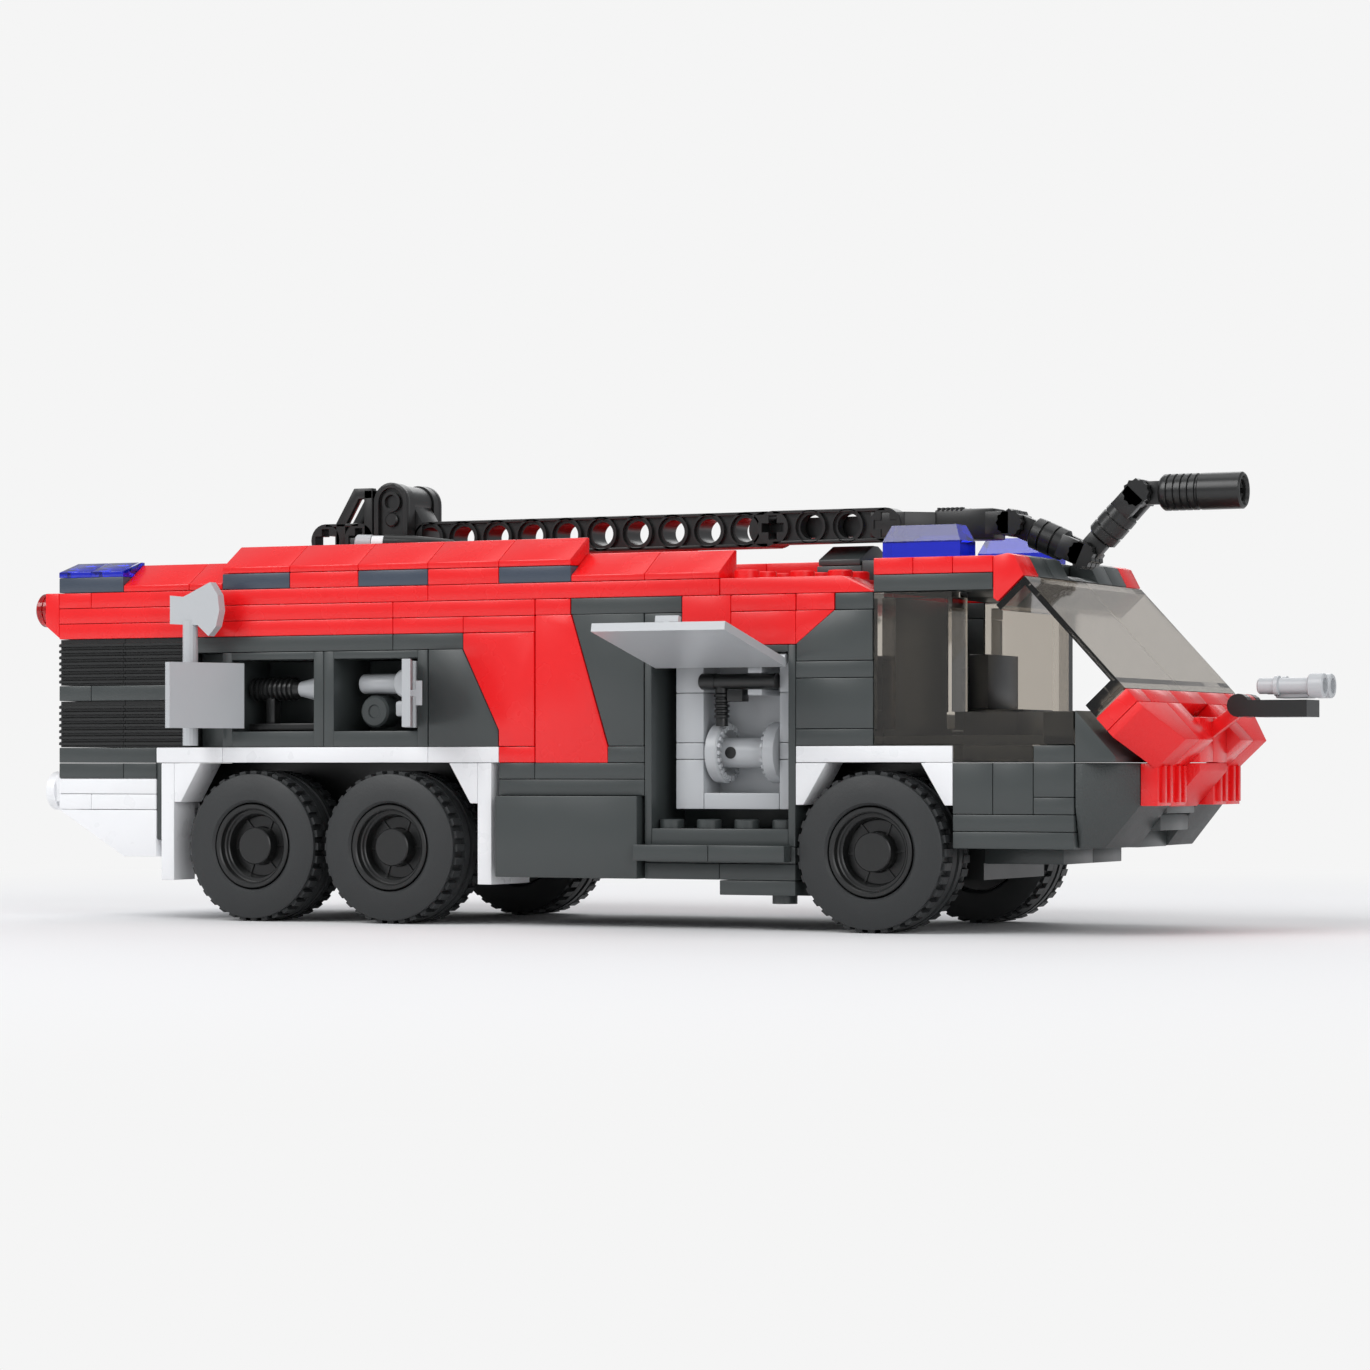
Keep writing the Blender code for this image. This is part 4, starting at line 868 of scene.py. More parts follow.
@dataclass
class Cupboards:
    """The dark cupboards with what is in them, their doors, and the axes beside them."""

    def build(self) -> None:
        """Builds both sides."""
        for side in SIDES:
            self.boxes(side)
            self.doors(side)
            self.contents(side)
            self.axe(side)

    def boxes(self, side: int) -> None:
        """The two open boxes, the row over them, the wedge beside them and the column behind the axe.

        Args:
            side: -1 for the right, 1 for the left.
        """
        name = SIDE_NAMES[side]
        dark = Moulding(f"cupboard_boxes_{name}", Plastic.DARK)
        outer = mirrored(side, 3, 4)
        for x0 in (5, 8):
            x1 = x0 + 3
            deep = mirrored(side, 2, 4)
            dark.brick(x0, x0 + 0.3, *deep, 11, 17)
            dark.brick(x1 - 0.3, x1, *deep, 11, 17)
            dark.brick(x0 + 0.28, x1 - 0.28, *deep, 11, 12)
            dark.brick(x0 + 0.28, x1 - 0.28, *deep, 16.5, 17)
            dark.brick(x0 + 0.28, x1 - 0.28, *mirrored(side, 2, 2.2), 12, 16.5)
        dark.bricks([(4, 10, *outer, 17, 18), (10, 12, *outer, 17, 18)])
        dark.bricks([(4, 5, *mirrored(side, 2, 3.4), 11, 14), (4, 5, *mirrored(side, 2, 3.4), 14, 17)])
        dark.wall([(11.02, 11), (12.98, 11), (12.98, 12), (11.98, 17), (11.02, 17)], *outer)
        dark.finish(f"cupboards_{name}")

    def doors(self, side: int) -> None:
        """The light grey doors.

        Args:
            side: -1 for the right, 1 for the left.
        """
        name = SIDE_NAMES[side]
        for kind in ("rear", "front"):
            dress_cad(f"door_{kind}_{name}", Plastic.LIGHT, 0.14)

    def contents(self, side: int) -> None:
        """A ribbed hose with its branch pipe in the rear box, and fittings in the front one.

        Args:
            side: -1 for the right, 1 for the left.
        """
        name = SIDE_NAMES[side]
        y = side * 3.15 * STUD
        hose = Moulding(f"ribbed_hose_{name}", Plastic.BLACK)
        profile = [(0, 0.6)]
        for k in range(9):
            profile += [
                (k * 1.15, 1.9), (k * 1.15 + 0.35, 2.35), (k * 1.15 + 0.75, 2.35), (k * 1.15 + 1.0, 1.9)
            ]
        profile += [(10.5, 1.8), (11.5, 1.5), (11.6, 0.4)]
        hose.lathe("x", (43.4, y, 47.0), profile, 28)
        hose.block("y", rectangle((47, 49), (38.6, 45.5)), (y - 1.2, y + 1.2))
        hose.block("y", rectangle((44, 59.5), (38.6, 40)), (y - 3, y + 3))
        hose.finish()
        pipe = Moulding(f"branch_pipe_{name}", Plastic.LIGHT)
        pipe.lathe(
            "x", (54.6, y, 47.0), [(0, 0.5), (0, 1.5), (5.0, 2.6), (6.2, 2.6), (6.2, 2.0), (5.8, 0.4)], 28
        )
        pipe.finish()
        fittings = Moulding(f"cupboard_fittings_{name}", Plastic.LIGHT)
        fittings.lathe(
            "x", (69.2, y, 47.9), [(0, 0.4), (0, 1.7), (0.4, 2.0), (8.6, 2.0), (9.0, 1.7), (9.0, 0.4)], 28
        )
        fittings.lathe(
            "y", (80.6, y, 47.9),
            [
                (-side * 2.4, 0.4), (-side * 2.4, 2.9), (side * 2.6, 2.9), (side * 3.0, 2.5),
                (side * 3.0, 0.4)
            ],
            32
        )
        fittings.block("y", rectangle((78, 83), (41.2, 44.4)), (y - 2.5, y + 2.5), 0.6)
        fittings.finish()
        reel = Moulding(f"cupboard_reel_{name}", Plastic.DARK)
        ring = [
            (side * 2.8, 0.3), (side * 2.8, 1.2), (side * 3.1, 1.4), (side * 3.1, 2.8), (side * 2.7, 3.2),
            (-side * 2.4, 3.2), (-side * 2.4, 0.3)
        ]
        reel.lathe("y", (73.6, y, 42.3), ring, 32)
        reel.finish()

    def axe(self, side: int) -> None:
        """The light grey axe."""
        dress_cad(f"axe_{SIDE_NAMES[side]}", Plastic.LIGHT, 0.35)


@dataclass
class Middle:
    """The dark middle of the body, and the hose bays with their racks and flaps."""

    reel_from_middle: float = 23.2  # mm, so that the reel clears the closed flap
    reel_height: float = 10.6 * PLATE  # mm
    reel_radius: float = 5.9  # mm
    reel_teeth: int = 24
    bar_height: float = 47.6  # mm, the pistol nozzle's barrel
    bar_start: float = 146.0  # mm
    bar_radius: float = 1.55  # mm

    def build(self) -> None:
        """Builds the walls, then each side's bay."""
        dark = Moulding("middle_courses", Plastic.DARK)
        dark.brick(15.5, 18, -3, 3, 18, 19)
        dark.both_sides(
            [
                (13, 17, 8, 9), (13, 14, 9, 10), (14, 17, 9, 10), (16, 17, 10, 11), (15, 18, 19, 20),
                (17, 18, 17, 19)
            ]
        )
        dark.both_sides([(13, 16.9, 3, 8)], 2, 4.2)
        for side in SIDES:
            dark.wall([(16.03, 11.02), (16.98, 11.02), (16.98, 19), (15.03, 19)], *mirrored(side, 3, 4))
        dark.finish("mid_body")
        for side in SIDES:
            self.bay_frame(side)
            self.rack(side)
            self.nozzle(side)
            dress_cad(f"flap_{SIDE_NAMES[side]}", Plastic.LIGHT, 0.14)

    def bay_frame(self, side: int) -> None:
        """The tall dark frame, the rows under it and the step.

        Args:
            side: -1 for the right, 1 for the left.
        """
        dark = Moulding(f"bay_frame_{SIDE_NAMES[side]}", Plastic.DARK)
        deep = mirrored(side, 2, 4)
        dark.brick(17, 17.2, *deep, 5, 17)
        dark.brick(20.8, 21, *deep, 5, 17)
        dark.brick(17.19, 20.81, *deep, 16.57, 17)
        dark.brick(17.19, 20.81, *deep, 5, 6.07)
        dark.brick(17.19, 20.81, *mirrored(side, 2, 2.2), 6.05, 16.6)
        dark.bricks([(17, 19, *deep, 3, 4), (19, 21, *deep, 3, 4), (17, 21, *deep, 4, 5)])
        dark.bricks(
            [
                (16.9, 18.9, *mirrored(side, 4, 4.43), 4.1, 5.1),
                (18.9, 20.9, *mirrored(side, 4, 4.43), 4.1, 5.1)
            ]
        )
        for x in (17.5, 18.5, 19.5, 20.5):
            dark.stud(x, side * 3.5, 6.07)
        dark.finish(f"hose_bay_{SIDE_NAMES[side]}")

    def rack(self, side: int) -> None:
        """The light grey rack and the toothed hose reel.

        Args:
            side: -1 for the right, 1 for the left.
        """
        light = Moulding(f"hose_rack_and_reel_{SIDE_NAMES[side]}", Plastic.LIGHT)
        back = mirrored(side, 2.25, 2.45)
        post = mirrored(side, 2.45, 3.4)
        posts = ((17.55, 18.3), (20.3, 20.7))
        courses = ((7.2, 10.2), (10.2, 11.2), (11.2, 14.2), (14.2, 16.2))
        light.bricks(
            [
                (17.55, 20.7, *back, 7.2, 11.4), (17.55, 20.7, *back, 11.4, 16.2),
                *((x0, x1, *post, *course) for x0, x1 in posts for course in courses),
                (18.3, 20.3, *post, 7.2, 8.2),
            ]
        )
        y = side * self.reel_from_middle
        z = self.reel_height
        light.lathe("x", (18.35 * STUD, y, z), [(0, 0.4), (0, 2.9), (15.2, 2.9), (15.2, 0.4)], 32)
        radius = self.reel_radius
        for x, way in ((147.0, 1), (162.3, -1)):
            # A dished flange, widest at its outer end, with a crown of teeth on its inner face.
            dish = [
                (0, 3.4), (0, radius - 0.9), (0.5, radius - 0.2), (2.6, radius), (2.9, radius - 0.3),
                (2.9, 4.4), (1.6, 3.9), (1.6, 3.4)
            ]
            light.lathe("x", (x, y, z), [(way * t, r) for t, r in dish], 40, closed=True)
            light.lathe(
                "x", (x, y, z), [(way * 1.2, 0.4), (way * 1.2, 3.6), (way * 1.8, 3.6), (way * 1.8, 0.4)],
                32
            )
            tooth = [(4.5, -0.3), (4.5, 0.3), (radius - 0.45, 0.36), (radius - 0.45, -0.36)]
            for k in range(self.reel_teeth):
                turn = 2 * math.pi * k / self.reel_teeth
                light.add(set_round("x", (x, y, z), turn, tooth, (way * 2.8, way * 3.4)))
        for low, high in ((self.bar_radius, 2.7), (-2.7, -self.bar_radius)):
            clip = rectangle((156.4, 159.4), (self.bar_height + low, self.bar_height + high))
            light.block("y", clip, (side * 20.0, side * 28.6))
        light.finish(f"hose_rack_{SIDE_NAMES[side]}")

    def nozzle(self, side: int) -> None:
        """The black pistol nozzle held over the reel.

        Args:
            side: -1 for the right, 1 for the left.
        """
        black = Moulding(f"pistol_nozzle_{SIDE_NAMES[side]}", Plastic.BLACK)
        y = side * 3.45 * STUD
        z = self.bar_height
        bar = [
            (0, 0.3), (0, 1.3), (0.3, 1.55), (3.3, 1.55), (3.3, 1.45), (15.6, 1.45), (15.8, 1.55),
            (16.2, 1.55), (16.2, 0.4)
        ]
        black.lathe("x", (self.bar_start, y, z), bar, 28)
        hose = [(0, 0.3), (0, 1.3), (-2.2, 1.3)]
        for k in range(5):
            hose += [(-2.3 - k, 1.15), (-2.5 - k, 1.5), (-2.9 - k, 1.5), (-3.1 - k, 1.15)]
        hose += [(-7.5, 1.2), (-8.6, 1.2), (-8.6, 0.3)]
        black.lathe("z", (150.3, y - side * 0.4, z), hose, 24)
        pin = [(side * 2.5, 0.3), (side * 2.5, 1.15), (side * 2.97, 1.15), (side * 2.97, 0.3)]
        black.lathe("y", (151.6, side * self.reel_from_middle, self.reel_height), pin, 24)
        black.block("y", rectangle((151.8, 155.1), (z - 3.9, z - 1.5)), (y - side * 2.4, y + side * 0.6))
        black.finish()


SCREEN_TOP = (26 * STUD + 6.3, 21 * PLATE - 0.6)  # mm, the top outer corner of the glass
SCREEN_BOTTOM = (29.25 * STUD, 14.25 * PLATE)
SCREEN_LENGTH = math.dist(SCREEN_TOP, SCREEN_BOTTOM)
DOWN = tuple((b - a) / SCREEN_LENGTH for a, b in zip(SCREEN_TOP, SCREEN_BOTTOM))
OUT = (-DOWN[1], DOWN[0])
SCREEN_DEPTH = 8.0  # mm


def tilted(down: float, deep: float) -> Point:
    """(x, z) in mm of a point down the windscreen and behind its outer face.

    Args:
        down: mm from the glass's top edge.
        deep: mm behind its outer face.

    Returns:
        (x, z) in mm.
    """
    return (
        SCREEN_TOP[0] + DOWN[0] * down - OUT[0] * deep,
        SCREEN_TOP[1] + DOWN[1] * down - OUT[1] * deep,
    )


@dataclass
class Cab:
    """The cab's courses, windows, windscreen, roof and beacons."""

    def build(self) -> None:
        """Builds each."""
        self.courses()
        self.windows()
        self.roof()

    def courses(self) -> None:
        """The dark courses round the cab."""
        dark = Moulding("cab_courses", Plastic.DARK)
        dark.both_sides([(21, 23, 11, 12), (21, 23, 12, 15), (21, 23, 15, 16), (22.02, 23, 19, 20)])
        for side in SIDES:
            span = mirrored(side, 3, 4)
            dark.wall(
                [(21.02, 16.02), (22.98, 16.02), (22.98, 18.98), (22.0, 18.98), (21.02, 17.05)], *span
            )
        dark.bricks(
            [
                (21, 22.3, -3, 3, 11, 20), (21, 28, -3, 3, 11, 11.6), (24, 28, -3, 3, 10, 11),
                (27, 28, -3, 3, 11, 13)
            ]
        )
        for y0 in (-4, 0):
            dark.bricks(
                [
                    (25, 28, y0, y0 + 4, 5, 6), (25, 28, y0, y0 + 4, 6, 7), (25, 26, y0, y0 + 4, 7, 10),
                    (26, 27, y0, y0 + 4, 7, 10), (27, 28, y0, y0 + 4, 7, 8), (27, 28, y0, y0 + 4, 8, 10),
                ]
            )
            dark.wall([(28.02, 10.02), (29, 10.02), (29, 10.35), (28.02, 13)], y0, y0 + 4)
        dark.bricks([(25, 27, -2, 0, 4, 5), (25, 27, 0, 2, 4, 5)])
        dark.both_sides([(27, 28, 10, 11)])
        dark.finish("cab_body")
        seat = Moulding("cab_seat", Plastic.BLACK)
        seat.bricks([(24.2, 25.6, -1, 1, 11.6, 13.2), (24.2, 24.7, -1, 1, 13.2, 16.5)])
        seat.finish()

    def windows(self) -> None:
        """The smoke side panels and low bricks, and the two halves of the windscreen."""
        for side in SIDES:
            name = SIDE_NAMES[side]
            dress_cad(f"cab_glass_{name}", Plastic.SMOKE, 0.12)
            dress_cad(f"windscreen_{name}", Plastic.SMOKE, 0.15)

    def roof(self) -> None:
        """The roof plates, the row of slopes at the windscreen's head, and the beacons."""
        dark = Moulding("cab_roof_plates", Plastic.DARK)
        dark.bricks([(23, 26, -4, 0, 20, 21), (23, 26, 0, 4, 20, 21)])
        red = Moulding("cab_roof_tiles", Plastic.RED)
        for x0 in (23, 24, 25):
            for y0 in (-4, 2):
                red.brick(x0, x0 + 1, y0, y0 + 2, 21, 22)
        dark.bricks([(23, 26, -2, 0, 21, 22), (23, 26, 0, 2, 21, 22)])
        front = 26 * STUD
        crest = (front + 3.0, 22 * PLATE + 0.3)
        outline = [
            (front + 0.1, tilted(0, SCREEN_DEPTH)[1] + 1.3),
            tilted(-0.15, SCREEN_DEPTH - 0.8),
            tilted(-0.15, 0.1),
            (crest[0] + 1.2, crest[1] - 0.4),
            crest,
            (front + 0.1, 22 * PLATE - 0.2),
        ]
        lowered = [p if p[1] < 67.5 else (min(p[0], 213.2), 67.5) for p in outline]
        for y0 in range(-4, 4):
            target = red if y0 in (-4, 3) else dark
            shape = lowered if y0 in (-1, 0) else outline
            target.block("y", shape, (y0 * STUD + SEAM, (y0 + 1) * STUD - SEAM), 0.12)
        red.finish("cab_roof")
        dark.finish()
        for side in SIDES:
            dress_cad(f"beacon_front_{SIDE_NAMES[side]}", Plastic.BLUE, 0.12)


@dataclass
class Nose:
    """The red nose, the dark chin and the tilting twin nozzle."""

    brick_length: float = 3 * PLATE  # mm
    pivot: Point = (246.1, 42.7)  # mm, the twin nozzle's tilt joint

    def build(self) -> None:
        """Builds the nose, the chin and the turret."""
        self.red_blocks()
        self.chin()
        dress_cad("turret_arm", Plastic.BLACK, 0.15)
        self.twin_nozzle()

    def tilted_block(
        self, plan: Sequence[Point], depths: Span = (0.0, SCREEN_DEPTH)
    ) -> bmesh.types.BMesh:
        """A block square to the windscreen, from a plan of (down, y) points in mm.

        Args:
            plan: (down, y) of each corner, in mm.
            depths: its front and back, in mm.

        Returns:
            the closed solid.
        """
        rings = []
        for deep in depths:
            spots = [(*tilted(down, deep), y) for down, y in plan]
            rings.append([place(x, y, z) for x, z, y in spots])
        return rounded(loft(rings))

    def red_blocks(self) -> None:
        """Plates and inverted slopes under the windscreen, the middle block and the ribbed plates."""
        start = SCREEN_LENGTH + 0.1
        plate_end = start + PLATE
        brick_end = SCREEN_LENGTH + PLATE + self.brick_length
        red = Moulding("nose_plates", Plastic.RED)
        rough = Moulding("nose_slopes", Plastic.GRAINED_RED)
        for side in SIDES:
            for y0, y1 in ((1, 3), (3, 4)):
                span = mirrored(side, y0, y1)
                y_low, y_high = span[0] * STUD + SEAM, span[1] * STUD - SEAM
                red.add(self.tilted_block(rectangle((start, plate_end - 0.05), (y_low, y_high))))
            inner = rectangle((plate_end + 0.05, brick_end), (1, 2))
            outer = [
                (plate_end + 0.05, 2), (brick_end, 2), (brick_end, 3), (plate_end + 1.6, 4),
                (plate_end + 0.05, 4)
            ]
            for target, part in ((red, inner), (rough, outer)):
                near = min(y for _, y in part)
                points = [(down, side * (y * STUD + (SEAM if y == near else -SEAM))) for down, y in part]
                target.add(self.tilted_block(points))
            red.wall(rectangle((29.25, 29.66), (7.5, 9.95)), *mirrored(side, 1, 2))
            red.wall(rectangle((29.25, 29.66), (7.5, 9.95)), *mirrored(side, 2, 3))
            for rib in (1.3, 1.7, 2.3, 2.7):
                y = side * rib * STUD
                red.block("y", rectangle((237, 238.1), (24.6, 31.4)), (y - 0.6, y + 0.6), 0.1)
        red.add(self.tilted_block(rectangle((start, plate_end), (-7.95, 7.95))))
        for y0 in (-1, 0):
            red.wall(rectangle((29.25, 30), (10.02, 12.66)), y0, y0 + 1)
        rough.wall([(29.25, 7.4), (30, 9.5), (30, 9.98), (29.25, 9.98)], -1, 1)
        x, z = self.pivot
        red.lathe("y", (x, 0, z), [(-1.15, 0.4), (-1.15, 2.15), (1.15, 2.15), (1.15, 0.4)], 24)
        arm = [(239, 39.0), (239, 35.9), (x, 41.2), (x, 44.2)]
        red.block("y", arm, (-1.1, 1.1))
        red.finish("nose")
        rough.finish()

    def chin(self) -> None:
        """The grained dark corners under the nose, and the tile between them."""
        rough = Moulding("chin_slopes", Plastic.GRAINED_DARK)
        upper = [(28.22, 4), (29.24, 3), (29.24, 1), (28.03, 1), (28.03, 4)]
        point = [(28.1, 3.75), (28.42, 3.1), (28.5, 1), (28.03, 1), (28.03, 3.75)]
        for side in SIDES:
            levels = []
            for h, plan in ((5.05, point), (7.5, upper), (9.95, upper)):
                spots = [(x * STUD, side * (y * STUD - (SEAM if y > 1 else -SEAM))) for x, y in plan]
                levels.append([place(x, y, h * PLATE) for x, y in spots])
            rough.add(rounded(loft(levels)))
        rough.finish("nose_lower")
        dark = Moulding("chin_plates", Plastic.DARK)
        dark.bricks(
            [(28.02, 29.04, -1, 1, 6, 7), (28.02, 29.2, -1, 1, 7, 10), (28.02, 28.5, -1, 1, 5, 6)]
        )
        dark.finish()

    def twin_nozzle(self) -> None:
        """The light grey pair of tubes on the turret."""
        low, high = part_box("turret_nozzle")
        tip = high.x * 1000 - REAR_FACE
        level = high.z * 1000 - 2.3
        light = Moulding("twin_nozzle", Plastic.LIGHT, "turret")
        for y in (-2.45, 2.45):
            profile = [
                (0.3, 0.3), (0.3, 1.2), (0, 1.5), (0, 2.1), (-0.25, 2.3), (-2.7, 2.3), (-3.0, 2.0),
                (-3.2, 1.5)
            ]
            profile += [
                (-8.6, 1.5), (-8.8, 1.9), (-9.6, 1.9), (-9.8, 1.5), (-12.6, 1.5), (-12.9, 1.2),
                (-12.9, 0.3)
            ]
            bored = [(-1.8, 0.3), (-1.8, 1.4), *profile[2:]]
            light.lathe("x", (tip, y, level), bored, 32)
        bridge = rectangle((tip - 9.6, tip - 3.2), (-2.6, 2.6))
        light.block("z", bridge, (low.z * 1000, level + 0.6), 0.3)
        light.finish("turret_nozzle")


def four_ways(outline: Sequence[Point]) -> list[list[Point]]:
    """An outline at each of the four quarter turns round (0, 0)."""
    return [
        [(a * c - b * s, a * s + b * c) for a, b in outline]
        for c, s in ((1, 0), (0, 1), (-1, 0), (0, -1))
    ]


@dataclass
class Liftarm:
    """A rounded bar pierced across, with shallow recesses between the rims of its holes."""

    level: float  # mm, the holes' height
    first: float  # mm, where the first hole is
    holes: str  # a letter for each hole: o for a round one, x for a cross
    across: Span  # mm
    radius: float = 3.5
    recess: float = 0.8
    bore: float = 2.4
    slot: float = 0.9  # half of a cross's width

    def add_to(self, piece: Moulding) -> None:
        """Adds the rims, the crosses, the webs and the two edges to a piece.

        Args:
            piece: the piece it goes into.
        """
        low, high = self.across
        last = self.first + STUD * (len(self.holes) - 1)
        for k, kind in enumerate(self.holes):
            x = self.first + k * STUD
            if kind == "o":
                rim, deep = self.bore + 0.7, 0.8
                ring = [(low, self.radius), (high, self.radius), (high, rim), (high - deep, rim)]
                ring += [(high - deep, self.bore), (low + deep, self.bore), (low + deep, rim), (low, rim)]
                piece.lathe("y", (x, 0, self.level), ring, 32, closed=True)
            else:
                for quarter in self.quarters():
                    piece.sharp_block("y", [(x + a, self.level + b) for a, b in quarter], self.across)
            if k:
                web = arc((x - STUD, self.level), self.radius - 0.4, -78, 78, 10)
                web += arc((x, self.level), self.radius - 0.4, 102, 258, 10)
                piece.sharp_block("y", web, (low + self.recess, high - self.recess))
        for way in (-1, 1):
            edge = sorted((self.level + way * (self.radius - 0.65), self.level + way * self.radius))
            corners = rectangle((self.first, last), (edge[0], edge[1]))
            piece.block("y", corners, self.across, 0.1)

    def quarters(self) -> list[list[Point]]:
        """The four corners that leave a cross open between them, round (0, 0)."""
        inside = [
            (0, self.bore), (self.slot, self.bore), (self.slot, self.slot), (self.bore, self.slot),
            (self.bore, 0)
        ]
        return four_ways(inside + arc((0, 0), self.radius, 0, 90, 6))


@dataclass
class RoofGear:
    """What stands on the roof: tower, boom, cannon, its rest and the grab rails."""

    level: float = 78.2  # mm, the middle of the boom's beam
    pivot: Point = (65.04, 85.8)  # mm, the lift joint
    cheeks: Span = (4.0, 7.2)  # mm from the centre line
    knuckle: float = 2.7  # mm
    clear: float = 4.3  # mm, from a click hinge's axis to the bar
    teeth: int = 12
    beam_half: float = 3.7  # mm, half of the beam's width
    # base, elbow, wrist
    hinges: tuple[Point, Point, Point] = ((199.86, 78.2), (214.48, 71.69), (225.59, 83.20))

    def build(self) -> None:
        """Builds each."""
        self.tower()
        self.lever()
        self.boom()
        self.rest()
        self.cannon()
        dress_cad("roof_rails", Plastic.BLACK, 0.3)

    def tower(self) -> None:
        """Two round-topped cheeks with raised rims, the slanted fins behind them and the short liftarm."""
        black = Moulding("boom_tower_cheeks", Plastic.BLACK)
        x, z = self.pivot
        inner, outer = self.cheeks
        low = 71.0
        black.block("z", rectangle((46, x + 4), (-outer, outer)), (70.7, 73.9))
        for side in SIDES:
            plate = [*arc((x, z), 3.95, 0, 180, 16), (x - 3.95, low), (x + 3.95, low)]
            black.sharp_block("y", plate, sorted((side * inner, side * (outer - 0.9))))
            rim = [*arc((x, z), 4.0, 0, 180, 16), (x - 4.0, low), (x - 2.9, low)]
            rim += [*arc((x, z), 2.9, 180, 0, 12), (x + 2.9, low), (x + 4.0, low)]
            black.block("y", rim, sorted((side * (outer - 1.2), side * outer)), 0.12)
            socket = [(outer - 1.0, 2.1), (outer - 0.15, 2.1), (outer - 0.15, 1.5), (outer - 1.0, 1.3)]
            black.lathe("y", (x, 0, z), [(side * t, r) for t, r in socket], 24, closed=True)
            boss = ((5.8, 0.3), (5.8, 1.45), (6.8, 1.45), (7.0, 1.2), (7.0, 0.3))
            black.lathe("y", (x, 0, z - 3.7), [(side * t, r) for t, r in boss], 24)
        fin = [
            (52, 73), (52, 81.7), (56.3, 88.8), (60.7, 88.8), (60.7, 86.6), (57.4, 86.6), (54.2, 81.2),
            (54.2, 73)
        ]
        for y in (-6.35, 0, 6.35):
            black.block("y", fin, (y - 0.85, y + 0.85), 0.12)
        black.block("y", rectangle((58.7, 60.7), (73, 88.4)), (-outer, outer))
        black.block("y", rectangle((52.3, 60), (73, 78.6)), (-6.9, 6.9))
        Liftarm(self.level, 49.4, "xx", (-outer, -inner), 3.4).add_to(black)
        black.finish("boom_tower")

    def lever(self) -> None:
        """The tapered black lever beside the tower, in its clear clip, with a light grey end."""
        start, end = place(61, -14, 76.9), place(82, -8.8, 76.6)
        turn = Matrix.Translation(start) @ (end - start).to_track_quat("X", "Z").to_matrix().to_4x4()
        turn = turn @ Matrix.Translation(-place(0, 0, 0))
        parts = (
            ("lever_end", Plastic.LIGHT, [(0, 0.3), (0, 1.6), (0.3, 1.9), (3.4, 1.9), (3.4, 0.3)]),
            ("lever_clip", Plastic.WHITE, [(3.5, 0.3), (3.5, 1.7), (6.0, 1.7), (6.0, 0.3)]),
            (
                "tapered_lever", Plastic.BLACK,
                [(6.1, 0.3), (6.1, 2.0), (12, 1.8), (20.5, 0.9), (21.2, 0.4)]
            ),
        )
        for name, plastic, profile in parts:
            piece = Moulding(name, plastic)
            piece.add(turned("x", (0, 0, 0), profile, 24), turn)
            if plastic is Plastic.BLACK:
                piece.brick(8.2, 8.9, -1.95, -1.25, 22, 23.6)
            piece.finish()

    def boom(self) -> None:
        """The pierced beam with its pivot's lug, the thin liftarm beside it and the ribbed block."""
        black = Moulding("boom_liftarms", Plastic.BLACK, "boom")
        x, z = self.pivot
        half = self.beam_half
        Liftarm(self.level, 72, "o" * 10, (-half, half)).add_to(black)
        black.lathe(
            "y", (148.5, 0, self.level), [(-half, 0.3), (-half, 3.5), (half, 3.5), (half, 0.3)], 32
        )
        for way in (-1, 1):
            edge = sorted((self.level + way * 2.85, self.level + way * 3.5))
            black.sharp_block("y", rectangle((143.9, 149), (edge[0], edge[1])), (-half, half))
        lug = [(x - 3, z), (x + 3, z), (70.5, 81.7), (70.5, 74.7), (x - 2.2, 74.7)]
        black.block("y", lug, (-half, half))
        black.lathe("y", (x, 0, z), [(-half, 0.3), (-half, 3.6), (half, 3.6), (half, 0.3)], 32)
        Liftarm(self.level, 152, "xoox", (-7.7, -3.55), 3.3, 1.0).add_to(black)
        black.sharp_block("z", rectangle((147.2, 173.6), (-3.6, 3.2)), (76.2, 80.2))
        plan = [(172.8, -7.5), (180, -7.5), (184.8, -3.2), (184.8, 3.2), (172.8, 3.2)]
        black.block("z", plan, (75.8, 80.6))
        black.block("x", rectangle((-3.1, 3.1), (75.1, 81.1)), (184.4, 196.9), 0.45)
        for k in range(6):
            start = 185.0 + 0.95 * k
            for y in (-2.35, 2.35):
                ridge = rectangle((y - 0.75, y + 0.75), (80.6, 81.45))
                black.block("x", ridge, (start, start + 0.5), 0.1)
        self.fork(black, self.hinges[0], (-1, 0))
        black.finish("boom_beam")

    def toothed(self, piece: Moulding, spot: Point, across: Span) -> None:
        """A toothed disc of a click hinge.

        Args:
            piece: the piece it goes into.
            spot: the hinge's (x, z) in mm.
            across: its two faces in mm.
        """
        outline = []
        for k in range(self.teeth * 2):
            turn = math.pi * k / self.teeth
            r = self.knuckle - (0.35 if k % 2 else 0.0)
            outline.append((spot[0] + r * math.cos(turn), spot[1] + r * math.sin(turn)))
        piece.sharp_block("y", outline, across)

    def strap(self, piece: Moulding, spot: Point, way: Point, across: Span) -> None:
        """The flat strap between a toothed disc and its bar.

        Args:
            piece: the piece it goes into.
            spot: the hinge's (x, z) in mm.
            way: (x, z) direction towards the bar.
            across: its two faces in mm.
        """
        r = self.knuckle * 0.82
        far = self.clear + 0.6
        outline = [
            (spot[0] + way[0] * t - way[1] * n, spot[1] + way[1] * t + way[0] * n)
            for t, n in ((0, r), (far, r), (far, -r), (0, -r))
        ]
        piece.block("y", outline, across, 0.12)

